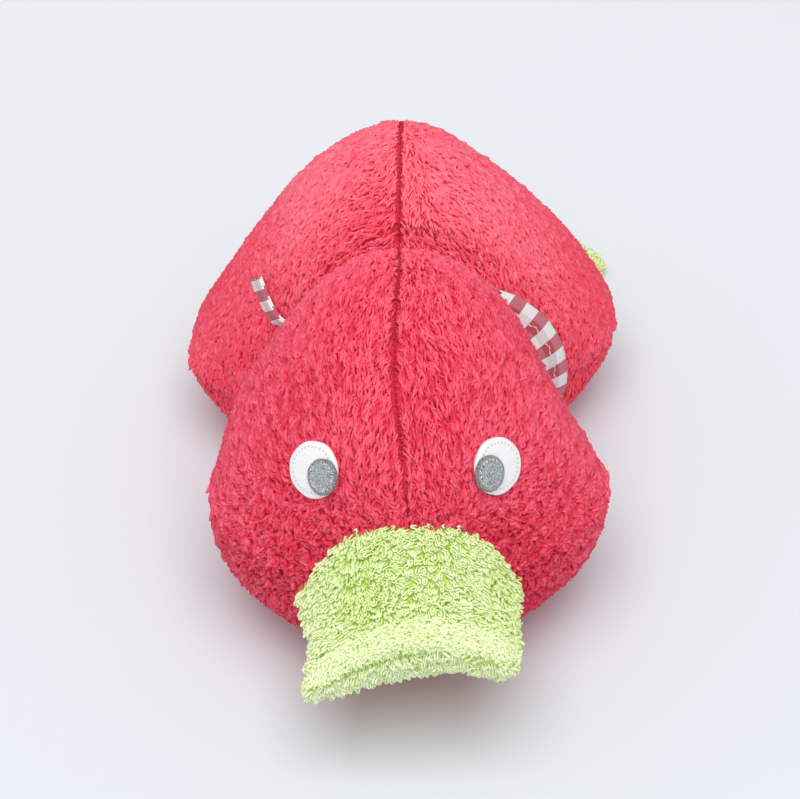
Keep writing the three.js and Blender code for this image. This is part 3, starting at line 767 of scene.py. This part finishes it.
def billSurface(upper):
    def surface(u, v):
        along = bill["start"] + (1 - bill["start"]) * (1 - (1 - u) ** 1.6)
        angle = padAngle(v)
        across = -np.cos(angle)
        # the left rim runs in over its middle and out again to a drooping tip, the right one is
        # a little narrower at its root
        left = across ** 2 * (across < 0)
        right = across ** 2 * (across > 0) * ramp(along, 0.86, -0.2)
        rims = 1 + left * np.interp(along, bill["along"], bill["leftShares"]) - bill["rightRoot"] * right
        halfWidth = bill["halfWidth"] * shareAt(bill, "widthShares", along) * rims
        drop = shareAt(bill, "dropShares", along)
        arch = bill["arch"] * shareAt(bill, "archShares", along) * across ** 2
        blunt = 1 - (0.0 if upper else 0.5) * ramp(along, 0.8, 0.14)
        thick = shareAt(bill, "overShares" if upper else "underShares", along)
        thick = bill["depth"] * thick * np.sin(angle) ** blunt
        z = bill["rootHeight"] - bill["drop"] * drop - arch + bill["twist"] * drop * across
        z = z + (thick if upper else -thick) - bill["tipDroop"] * left * ramp(along, 0.84, 0.14)
        if not upper:
            z = z + bill["lipHollow"] * hump(across, 0.38, 0.3) * ramp(along, 0.86, 0.1)
        x, y = bill["shift"] + halfWidth * across, bill["rootY"] - bill["reach"] * along
        return np.stack([x, y, z], axis=-1)

    def lipGap(u, v):
        return np.linalg.norm(surface(u, v) - surface(np.ones_like(v), v), axis=-1)

    def paler(u, v):
        # the lip is dyed paler, a painted highlight where it turns up to the light; the left flank and the
        # underside are paler too
        flank = bill["leftPaler"] * ramp(v, 0.32, -0.2)
        return bill["lipPaintedHighlight"] * ramp(u, *bill["lipFrom"]) + flank + (0 if upper else bill["underPaler"])

    surface.seamDepth = lambda u, v: rimDepth(v) + 0.4 * hump(lipGap(u, v), 0, 0.8)
    # on top the lip's loops are shorter, and under it they hang down
    surface.size = lambda u: 1 - (bill["lipShorter"] if upper else 0) * ramp(u, *bill["lipFrom"])
    surface.hanging = lambda u: (u > bill["hangFrom"]) * (0.0 if upper else 1.0)
    surface.lipGap, surface.paler = lipGap, paler
    surface.upright = -1 if upper else 1
    return surface


# Feet: flat pads on the table, turned out by their splay. left and right: side, splay and root
foot = {
    "length": 38.0, "width": 31.0, "thickness": 8.0, "seam": 3.6, "solePower": 0.5, "gap": 1.2,
    "along": (0.0, 0.01, 0.045, 0.115, 0.34, 0.56, 0.75, 0.88, 0.955, 1.0),
    "widthShares": (0.3, 0.5, 0.56, 0.6, 0.68, 0.84, 0.97, 1.0, 0.86, 0.45),
    "thickShares": (0.0, 0.45, 0.75, 0.98, 1.0, 1.0, 0.96, 0.86, 0.62, 0.0),
    "left": (-1, 27.0, 35.208), "right": (1, 38.4, 44.371), "loopSize": 0.78, "loopLean": (8, 38),
}


def footSurface(word, upper):
    side, splay, root = foot[word]
    turned = math.radians(-side * splay)

    def surface(u, v):
        along = 0.003 + 0.994 * (1 - np.cos(math.pi * u)) / 2
        angle = padAngle(v)
        thick = np.maximum(shareAt(foot, "thickShares", along), 0)
        x = -foot["width"] / 2 * shareAt(foot, "widthShares", along) * np.cos(angle)
        y = root - foot["thickness"] / 2 + along * (foot["length"] + foot["thickness"] / 2)
        if upper:
            z = foot["seam"] + (foot["thickness"] - foot["seam"]) * thick * np.sin(angle)
        else:
            z = foot["seam"] - (foot["seam"] + 0.5) * (thick * np.sin(angle)) ** foot["solePower"]
        x, y = x * math.cos(turned) - y * math.sin(turned), x * math.sin(turned) + y * math.cos(turned)
        _, bowl = lobeCover(lobes["body"], x, y)
        z = np.minimum(z, np.maximum(bowl - foot["gap"], 0.4))
        return np.stack([x, y, np.maximum(z, 0.0)], axis=-1)

    surface.seamDepth = lambda u, v: rimDepth(v)
    surface.paler = lambda u, v: 0.0
    surface.size = lambda u: np.full(len(u), foot["loopSize"])
    surface.hanging = lambda u: 0.0
    surface.upright = 1 if upper else -1
    return surface


limeLook = {
    "yarn": 0.3, "halfWidth": 0.5, "length": 2.3, "inset": 0.6, "piecesUpTo": 5000,
    "yarnShares": (0.8, 1, 1, 1, 1, 1, 0.8), "cornerPaintedShade": (-0.05, 0.15, -0.25),
    "dyes": (dye(188, 220, 98), dye(216, 234, 152), dye(240, 247, 212)),
    "density": {"bill": 1.35, "lip": 2.4, "upper": 1.2, "sole": 0.6}, "bareUpperLip": 1.0, "bareLowerLip": 0.45,
    "seam": {
        "radius": 0.2, "stitchRadius": 0.13, "sink": 0.0,
        "cord": dye(150, 190, 84), "stitch": dye(206, 232, 140),
    },
}


def layLoops(name, surface, density, body, seed, leanRange, keep=None):
    # open hairpin loops: middle line = root - across halfWidth cos(pi s) + way out length sin(pi s)
    u, v, area = scatter(surface, density, seed, ((0.003, 0.002), (0.003, 0.002)))
    place, normal, forward, across = frameAt(surface, u, v)
    if keep is not None:
        kept = keep(place, surface.lipGap(u, v))
        u, v, place, normal, forward, across = (part[kept] for part in (u, v, place, normal, forward, across))
    count = len(u)
    swing = 1.1 * sway(place, 4.0, seed) + rng.normal(0, 0.75, count)
    swing = (swing + math.pi * surface.hanging(u))[:, None]
    nap = -forward * np.cos(swing) + across * np.sin(swing)
    nap = unit(nap - normal * np.sum(nap * normal, axis=1, keepdims=True))
    side = np.cross(normal, nap)
    lean = np.radians(rng.uniform(*leanRange, count))[:, None]
    way = nap * np.cos(lean) + normal * np.sin(lean)
    twist = rng.normal(0, 0.4, count)[:, None]
    apart = side * np.cos(twist) + np.cross(way, side) * np.sin(twist)
    s = np.linspace(0, 1, len(limeLook["yarnShares"]))
    arc = np.sin(math.pi * s)
    size = rng.uniform(0.75, 1.2, (count, 1)) * surface.size(u)[:, None]
    wide = limeLook["halfWidth"] * size * (0.75 + 0.6 * arc ** 2)
    root = place - normal * limeLook["inset"] + rng.normal(0, 0.05, (count, 3))
    lines = (
        root[:, None]
        - apart[:, None] * (wide * np.cos(math.pi * s))[..., None]
        + way[:, None] * (limeLook["length"] * size * np.abs(arc) ** 0.8)[..., None]
        + nap[:, None] * (0.35 * size * arc ** 2)[..., None]
    )
    tone = np.clip(0.52 + 0.2 * rng.normal(0, 1, count) + 0.16 * sway(place, 9.0, seed + 5), 0, 1)
    tone = np.clip(tone + surface.paler(u, v), 0, 1)
    # painted light and shade: each loop is dyed darker towards its roots and paler at its top, and its corners
    # lighter or darker by how they face
    share = tone[:, None, None] * 0.6 + (np.abs(arc) ** 0.6)[:, None] * 0.4
    dyes = shadesAt(limeLook["dyes"], share + np.array(limeLook["cornerPaintedShade"]))
    thick = limeLook["yarn"] * np.array(limeLook["yarnShares"])
    layYarn(name, lines, thick, np.cross(apart, way), dyes, u, limeLook["piecesUpTo"], body, limePile)
    print(name, "loops", count, "over", round(float(area)), "square mm")


def outsideHead(place):
    x, y, z = place.T
    roof, bowl = lobeCover(lobes["head"], x, y, z)
    return ~((z < roof - 1.4) & (z > bowl + 2.0))


density = limeLook["density"]
lipStart = bill["rootY"] - bill["reach"] * bill["lipLoopsFrom"]
for node, upper in (("bill_upper", True), ("bill_lower", False)):
    surface = billSurface(upper)
    filling = [] if upper else ["bill_filling"]
    makeSkin(node, surface, "head", limeGround, padInset, 70, 60, True, filling)
    # the seam along the lip stays bare
    clear = limeLook["bareUpperLip" if upper else "bareLowerLip"]
    layLoops(
        "loops_" + node, surface, density["bill"], "head", 51 + upper, bill["loopLean"],
        lambda place, gap: outsideHead(place) & (gap > clear),
    )
    if upper:
        layLoops(
            "loops_bill_lip", surface, density["lip"], "head", 57, bill["lipLean"],
            lambda place, gap: (place[:, 1] < lipStart) & (gap > clear),
        )
        edge, normal, forward, _ = frameAt(surface, np.full(90, 0.999), np.linspace(0.1, 0.9, 90))
        makeSeam("seam_bill_lip", edge + forward * 0.1, normal, "head", limePile, limeLook["seam"])

for word in ("left", "right"):
    for part, upper in (("upper", True), ("sole", False)):
        node = f"foot_{part}_{word}"
        surface, body = footSurface(word, upper), "foot_" + word
        filling = [] if upper else ["foot_filling_" + word]
        makeSkin(node, surface, body, limeGround, padInset, 48, 40, True, filling)
        layLoops("loops_" + node, surface, density[part], body, 61 + upper + len(word), foot["loopLean"])
print("bill and feet made")

# Neck: the stuffed ball that the head turns on, in the same terry
u, v = gridOf(48, 64, ringed=True)
turn, around = math.pi * (0.004 + 0.992 * u), 2 * math.pi * v
outward = np.stack([np.sin(turn) * np.sin(around), np.cos(turn), np.sin(turn) * np.cos(around)], axis=-1)
place = np.array([0, neck["y"], neck["z"]]) + outward * (neck["ball"] - 0.4)
points, faces = shellFrom(place, outward, skin["thickness"], ringed=True)
neckBall = makePiece("skin_neck", points, faces, "neck", redGround)
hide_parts("neck_filling")


# Eyes: felt ovals that follow the head. The head's bend under each is a second-degree surface
# fitted to the frame's own felt, height = a + b x + c y + d xx + e xy + f yy
eye = {
    "spread": 21.5, "shift": -3.0, "setback": 101.7, "height": 62.3, "tilt": 14.0, "across": 40.0, "up": 31.0,
    "white": {"halves": (7.0, 6.9), "thick": 1.3, "crown": 0.35, "in": 0.0, "down": 0.0},
    "pupil": {"halves": (4.1, 4.4), "thick": 1.1, "crown": 0.2, "in": 3.6, "down": 1.0},
    "stitches": 32, "satin": 30,
}


def feltCloth(name):
    # a felt material to go on with: its fibres, and the distance and direction from its middle
    cloth = Finish(name, Roughness=0.9, Sheen_Weight=0.25)
    fibres = cloth.noise(cloth.place(), 2600, 4, 0.7)
    flat = cloth.node("ShaderNodeVectorMath", {"operation": "SUBTRACT"}, {0: cloth.laid(), 1: (0.5, 0.5, 0)})
    far = cloth.node("ShaderNodeVectorMath", {"operation": "LENGTH"}, {0: flat}, out=1) * 2
    x, y = cloth.parts(flat)
    return cloth, fibres, far, x.maths("ARCTAN2", y)


def whiteFelt():
    # machine stitches a little inside the edge: small grey dents, evenly spaced
    cloth, fibres, far, around = feltCloth("white felt")
    beat = (around * (eye["stitches"] / (2 * math.pi))).maths("FRACT")
    stitch = beat.near(0.5, 0.14, 0.26) * far.near(0.8, 0.018, 0.04)
    color = cloth.mix(dye(232, 230, 230), dye(246, 245, 246), fibres.step(0.3, 0.7))
    color = cloth.mix(color, dye(192, 184, 190), stitch * 0.55)
    return cloth.feed(Base_Color=color, Normal=cloth.bump(fibres * 0.5 - stitch * 0.8, 0.0004, 0.6))


def pupilCloth():
    # satin stitches round the rim, then a bright broken line, and mottled cloth inside it
    cloth, fibres, far, around = feltCloth("grey stitched cloth")
    spokes = (around * eye["satin"]).maths("SINE")
    rim, line = far.step(0.8, 0.92), far.near(0.74, 0.03, 0.1)
    flecks = cloth.noise(cloth.place(), 3000, 3, 0.7)
    inside = cloth.mix(dye(112, 116, 120), dye(190, 194, 196), fibres.step(0.38, 0.64))
    inside = cloth.mix(inside, dye(226, 229, 230), flecks.step(0.58, 0.66))
    satin = cloth.mix(dye(70, 72, 74), dye(158, 158, 154), spokes * 0.15 + flecks.step(0.36, 0.62))
    color = cloth.mix(inside, satin, rim * 0.9)
    color = cloth.mix(color, dye(238, 240, 242), line * flecks.step(0.5, 0.58))
    color = cloth.mix(color, dye(56, 58, 62), line * (1 - flecks.step(0.38, 0.46)))
    height = fibres * 0.6 + rim * (spokes * 0.15 + 0.4) + line * flecks
    return cloth.feed(Base_Color=color, Normal=cloth.bump(height, 0.0004, 0.8))


feltWhite, feltGrey = whiteFelt(), pupilCloth()


def turnAxes(axes, axis, angle):
    c, s = math.cos(math.radians(angle)), math.sin(math.radians(angle))
    turn = {"x": [[1, 0, 0], [0, c, -s], [0, s, c]], "z": [[c, -s, 0], [s, c, 0], [0, 0, 1]]}[axis]
    return axes @ np.array(turn).T


def bendTerms(x, y):
    return np.stack([np.ones_like(x), x, y, x * x, x * y, y * y], axis=-1)


def makeFelt(name, node, side, oval, finish):
    axes = np.eye(3)
    for axis, angle in (("z", -side * eye["tilt"]), ("x", 90 - eye["up"]), ("z", side * eye["across"])):
        axes = turnAxes(axes, axis, angle)
    origin = np.array([side * eye["spread"] + eye["shift"], -eye["setback"], eye["height"]])
    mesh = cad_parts[node].data
    felt = np.empty(len(mesh.vertices) * 3)
    mesh.vertices.foreach_get("co", felt)
    local = (felt.reshape(-1, 3) / millimetre - origin) @ axes.T
    fit = np.linalg.lstsq(bendTerms(local[:, 0], local[:, 1]), local[:, 2], rcond=None)[0]
    # from the middle of the top out over the rounded edge and back under to the middle: share of
    # the half width, and height in half thicknesses
    profile = np.array([
        (0.0, 1.0), *((share, 1.0) for share in np.linspace(0.08, 0.9, 14)), (0.95, 0.93), (0.985, 0.7),
        (1.0, 0.3), (1.0, -0.4), (0.97, -0.9), (0.5, -1.0), (0.02, -1.0),
    ])
    around = np.linspace(0, 2 * math.pi, 72, endpoint=False)
    wobble = 1 + 0.012 * np.sin(3 * around + side) + 0.008 * np.sin(7 * around)
    share, level = np.maximum(profile[:, 0], 0.01)[:, None], profile[:, 1][:, None]
    x = -side * oval["in"] + oval["halves"][0] * share * np.cos(around) * wobble
    y = -oval["down"] + oval["halves"][1] * share * np.sin(around) * wobble
    swell = oval["crown"] * (1 - share ** 2) * (level > 0)
    height = bendTerms(x, y) @ fit + level * oval["thick"] / 2 + swell
    place = origin + np.stack([x, y, height], axis=-1) @ axes
    rows, columns = place.shape[:2]
    middle = np.stack([place[0].mean(axis=0), place[-1].mean(axis=0)])
    points = np.concatenate([place.reshape(-1, 3), middle])
    # the two ends are closed by fans, written as four-cornered faces that take in two steps each
    step = np.arange(0, columns, 2)
    near, mid, far = step, (step + 1) % columns, (step + 2) % columns
    base, top = (rows - 1) * columns, np.full(len(step), rows * columns)
    fan = np.stack([near, mid, far, top], axis=1)
    under = np.stack([base + far, base + mid, base + near, top + 1], axis=1)
    faces = np.concatenate([gridFaces(rows, columns, ringed=True)[:, ::-1], fan, under])
    plane = 0.5 + 0.5 * np.stack([share * np.cos(around), share * np.sin(around)], axis=-1).reshape(-1, 2)
    plane = np.concatenate([plane, [[0.5, 0.5], [0.5, 0.5]]])
    piece = makePiece(name, points, faces, "head", finish, plane[faces.ravel()])
    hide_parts(node)
    return piece


for word, side in (("left", -1), ("right", 1)):
    white = makeFelt("felt_white_" + word, "eye_white_" + word, side, eye["white"], feltWhite)
    makeFelt("felt_pupil_" + word, "pupil_" + word, side, eye["pupil"], feltGrey)
print("eyes made")


# Ribbon: woven checks, white yarn under rows of red yarn, with one line of white stitches
def ginghamMaterial():
    cloth = Finish("gingham", Roughness=0.6, Sheen_Weight=0.15)
    along, across = cloth.parts(cloth.laid())
    rows, columns = ((way * 0.5).maths("FRACT").step(0.488, 0.512) for way in (along, across))
    plain = cloth.mix(dye(252, 253, 250), dye(240, 224, 228), columns)
    red = cloth.mix(dye(214, 108, 126), dye(194, 52, 74), columns)
    threads = (along * (44 * math.pi)).maths("SINE") * (across * (44 * math.pi)).maths("SINE")
    stitch = (across + (along * 7).maths("SINE") * 0.09).near(1.55, 0.035, 0.07)
    dashes = (along * 2.6).maths("FRACT").step(0.12, 0.2)
    color = cloth.mix(cloth.mix(plain, red, rows), dye(240, 236, 236), stitch * dashes * 0.85)
    return cloth.feed(Base_Color=color, Normal=cloth.bump(threads * 0.4 + stitch * dashes, 0.00025, 0.6))


gingham = ginghamMaterial()
check = ribbon["check"]


def ribbonPiece(name, node, place, normal, thickness, way, along, across, ringed=False, lap=None):
    # a shell of ribbon with the checks laid by mm along and across it
    points, faces = shellFrom(place, normal, thickness, ringed)
    faces = facing(points, faces, way)
    uv = np.stack([along, across], axis=-1).reshape(-1, 2) / check
    corners = np.concatenate([uv, uv])[faces]
    if lap:
        # faces that close the ring run on past its end instead of back over the whole map
        closing = np.ptp(corners[..., 0], axis=1) > lap / 2
        corners[..., 0] += np.where(closing[:, None] & (corners[..., 0] < lap / 2), lap, 0)
    piece = makePiece(name, points, faces, "torso", gingham, corners.reshape(-1, 2))
    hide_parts(node)
    return piece


def neckRing(share):
    # the body's cross-section where the ribbon lies, share 0 at its front hem to 1 at its rear one:
    # for each lean, the turn that reaches the wanted y
    lobe = lobes["body"]
    lean = np.linspace(-math.pi / 2, math.pi / 2, 200)
    halves = []
    for roof in (True, False):
        turn = np.full(len(lean), 0.8)
        for _ in range(30):
            place = drawnIn(lobePoints(lobe, turn, lean, roof))
            x, y, z = place.T
            wall = grooveWall(x, z, True)[1] + 0.4
            rear = np.maximum(ribbonRear(x, z), wall + 1.4)
            front = np.maximum(rear - ribbon["width"], wall)
            wanted = front + (rear - front) * share
            turn = turn + 0.7 * (wanted - y) / lobe["front"] / np.maximum(np.sin(turn), 0.3)
            turn = np.clip(turn, 0.1, 1.5)
        halves.append(place)
    return np.concatenate([halves[0], halves[1][::-1][1:-1]])


def evenly(line, count, closed=True):
    if closed:
        line = np.concatenate([line, line[:1]])
    run = np.concatenate([[0], np.cumsum(np.linalg.norm(np.diff(line, axis=0), axis=1))])
    at = np.linspace(0, run[-1], count, endpoint=not closed)
    return np.stack([np.interp(at, run, line[:, k]) for k in range(3)], axis=1), run[-1]


def makeBand():
    rows, columns = 11, 220
    centre = np.array([0.0, 0.0, neck["z"]])

    def aroundOf(ring):
        return np.unwrap(np.arctan2(ring[:, 0], ring[:, 2] - neck["z"]))

    # every ring is read at the same directions round the neck, so the checks stay square
    askAt = aroundOf(evenly(neckRing(0.7), columns)[0])
    rings = []
    for share in np.arange(rows) / (rows - 1):
        ring = neckRing(share)
        ringAt = np.concatenate([aroundOf(ring) + lap * 2 * math.pi for lap in (-1, 0, 1)])
        ring, order = np.concatenate([ring] * 3), np.argsort(ringAt)
        ring = np.stack([np.interp(askAt, ringAt[order], ring[order, k]) for k in range(3)], axis=1)
        out = unit((ring - centre) * (1, 0, 1))
        angle = np.arctan2(out[:, 0], out[:, 2])
        # small gathers, and on the right the ribbon stands proud of the neck, most at mid height
        right = ramp(ring[:, 0], 20, 14)
        pucker = (ribbon["gathers"] + ribbon["gathersRight"] * right) * np.sin(11 * angle + 1.3 * share)
        pucker = pucker + ribbon["fineGathers"] * np.sin(27 * angle + 4 * share)
        proud = ribbon["proudMiddle"] * hump(ring[:, 2], 40, 11) * (ring[:, 0] > 0)
        proud = (proud + ribbon["proudRight"] * right) * math.sin(math.pi * (0.2 + 0.45 * share))
        rise = ribbon["lift"] + proud + pucker * (0.4 + share * 0.6)
        rings.append(ring + out * rise[:, None])
    place = np.array(rings)
    along = np.roll(place, -1, axis=1) - np.roll(place, 1, axis=1)
    normal = unit(np.cross(np.gradient(place, axis=0), along))
    normal = normal * np.sign(np.sum(normal * (place - centre), axis=-1, keepdims=True))
    run = float(np.linalg.norm(np.roll(place[5], -1, axis=0) - place[5], axis=1).sum())
    run = round(run / check / 2) * 2 * check
    down = np.cumsum(np.linalg.norm(np.diff(place, axis=0), axis=2), axis=0)
    down = np.concatenate([np.zeros((1, columns)), down])
    down = down - down[-1:] + ribbon["width"]
    along = gridOf(rows, columns, ringed=True)[1] * run
    band = ribbonPiece(
        "ribbon_wrap", "ribbon_band", place, normal, ribbon["thickness"], place[0, 0] - centre, along, down,
        ringed=True, lap=run / check,
    )
    print("ribbon laid,", round(run), "mm round")


makeBand()


def makeStrip(name, node, middle, wideWay, startCheck=0.0):
    # a strip of ribbon: its middle line carried across its width, with a shell's thickness
    rows, columns = 9, 64
    line, run = evenly(np.array(middle, float), columns, closed=False)
    line = np.stack([rounded(line[:, k], 4) for k in range(3)], axis=1)
    share = np.linspace(-0.5, 0.5, rows)[:, None, None]
    wide = unit(np.array(wideWay, float))
    place = line + wide * (share * ribbon["width"])
    along = np.gradient(place, axis=1)
    normal = unit(np.cross(along, np.broadcast_to(wide, along.shape)))
    place = place + normal * (0.25 * np.cos(share * math.pi))
    across, along = gridOf(rows, columns)
    along, across = along * run + startCheck * check, across * ribbon["width"]
    strip = ribbonPiece(name, node, place, normal, ribbon["bowThickness"], normal[0, 0], along, across)


# The bow hides behind the crown; one loop's edge shows beside the neck
knotBox = [np.array(corner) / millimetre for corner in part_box("ribbon_knot")]
knotAt = (knotBox[0] + knotBox[1]) / 2
fromNeck = np.array([knotAt[0], 0, knotAt[2] - neck["z"]])
knotAt = knotAt - fromNeck / np.linalg.norm(fromNeck) * ribbon["pinch"]
bow = {
    "left": [(-27.4, -35.0, 53.4), (-33.2, -33.6, 52.2), (-36.4, -27.0, 53.4), (-39.2, -18.4, 56.5)],
    "leftFrom": (-2.5, -0.8, -1.0), "leftApart": (0.9, 0.28, 0.33), "leftGap": 0.08, "leftFold": 1.1,
    "rightTo": (-8.2, -33.6, 70.2), "rightFrom": (2.2, -0.4, 1.6), "rightApart": (-0.5, 0, 0.85),
    "rightFold": (0.9, 0, 0.3),
}
run = np.array([knotAt + bow["leftFrom"], *bow["left"]])
apart = unit(np.array(bow["leftApart"])) * bow["leftGap"]
fold = run[-1] + unit(run[-1] - run[-2]) * bow["leftFold"]
loopPath = np.concatenate([run - apart, [fold], run[::-1] + apart])
makeStrip("ribbon_bow_left", "ribbon_loop_left", loopPath, (0.25, -0.72, 0.65), 0.35)
run = np.linspace(knotAt + bow["rightFrom"], bow["rightTo"], 8)
apart = np.array(bow["rightApart"])
loopPath = np.concatenate([run - apart * 0.5, [run[-1] + bow["rightFold"]], run[::-1] + apart * 0.7])
makeStrip("ribbon_bow_right", "ribbon_loop_right", loopPath, (0.1, 0.99, 0))


knot = {"round": 16.0, "long": 9.0, "thickness": 0.5, "swell": 0.96, "gathers": 0.06}


def makeKnot():
    # a rounded pad with shallow gathers: half the box's size times swell plus small waves
    u, v = gridOf(30, 44, ringed=True)
    turn, around = 0.02 + (math.pi - 0.04) * u, 2 * math.pi * v
    swell = knot["swell"] + knot["gathers"] * np.sin(5 * around + 2 * np.cos(turn)) * np.sin(turn)
    ball = np.stack([np.cos(turn), np.sin(turn) * np.sin(around), np.sin(turn) * np.cos(around)], axis=-1)
    place = knotAt + (knotBox[1] - knotBox[0]) / 2 * ball * swell[..., None]
    normal = unit(place - knotAt)
    along, across = v * knot["round"], u * knot["long"]
    tie = ribbonPiece(
        "ribbon_tie", "ribbon_knot", place, normal, knot["thickness"], normal[0, 0], along, across, ringed=True
    )


makeKnot()
print("ribbon tied")

# Setting: pale floor, soft light and the photograph's camera
setting = {
    "floor": 4.0, "near": dye(229, 231, 236), "far": dye(220, 226, 232),
    "sky": 0.57, "skyColor": (0.985, 0.99, 1.0),
    "lampPower": 32.0, "lampSize": 1.7, "lampPlace": (-0.06, -0.8, 1.9), "lampTurn": (21.0, -2.0, 0.0),
}


def addObject(name, data):
    thing = bpy.data.objects.new(name, data)
    bpy.context.scene.collection.objects.link(thing)
    return thing


floorFinish = Finish("floor", Roughness=0.9)
x, y = floorFinish.parts(floorFinish.place())
# painted shade: the floor's second, darker colour rises towards the front and the right, against the softbox's
# pool of light
floorShadeShare = (x * 0.35 - y).step(-0.35, 0.2)
floorMesh = bpy.data.meshes.new("floor")
half = setting["floor"]
floorCorners = [(-half, -half, 0), (half, -half, 0), (half, half, 0), (-half, half, 0)]
floorMesh.from_pydata(floorCorners, [], [(0, 1, 2, 3)])
floorColor = floorFinish.mix(setting["near"], setting["far"], floorShadeShare)
floorMesh.materials.append(floorFinish.feed(Base_Color=floorColor))
addObject("floor", floorMesh)

world = bpy.data.worlds.new("studio")
bpy.context.scene.world = world
world.use_nodes = True
sky = world.node_tree.nodes["Background"].inputs
sky["Color"].default_value = (*setting["skyColor"], 1)
sky["Strength"].default_value = setting["sky"]
lamp = bpy.data.lights.new("softbox", "AREA")
lamp.energy = setting["lampPower"]
lamp.size = setting["lampSize"]
softbox = addObject("softbox", lamp)
softbox.location = setting["lampPlace"]
softbox.rotation_euler = [math.radians(angle) for angle in setting["lampTurn"]]

# The camera looks down 40 degrees from 700 mm away, a little from the left
shot = {
    "target": (-0.0026, -0.056, 0.045), "elevation": 40.0, "azimuth": -1.9, "distance": 0.7, "lens": 124.4,
}
tilt, swing = math.radians(shot["elevation"]), math.radians(shot["azimuth"])
away = np.array([math.sin(swing) * math.cos(tilt), -math.cos(swing) * math.cos(tilt), math.sin(tilt)])
camera = addObject("camera", bpy.data.cameras.new("camera"))
camera.location = np.array(shot["target"]) + away * shot["distance"]
camera.rotation_euler = (math.radians(90) - tilt, 0, swing)
camera.data.lens = shot["lens"]
camera.data.sensor_width = 36
camera.data.clip_start = 0.01
bpy.context.scene.camera = camera
bpy.context.scene.view_settings.view_transform = "Standard"
print("setting made")
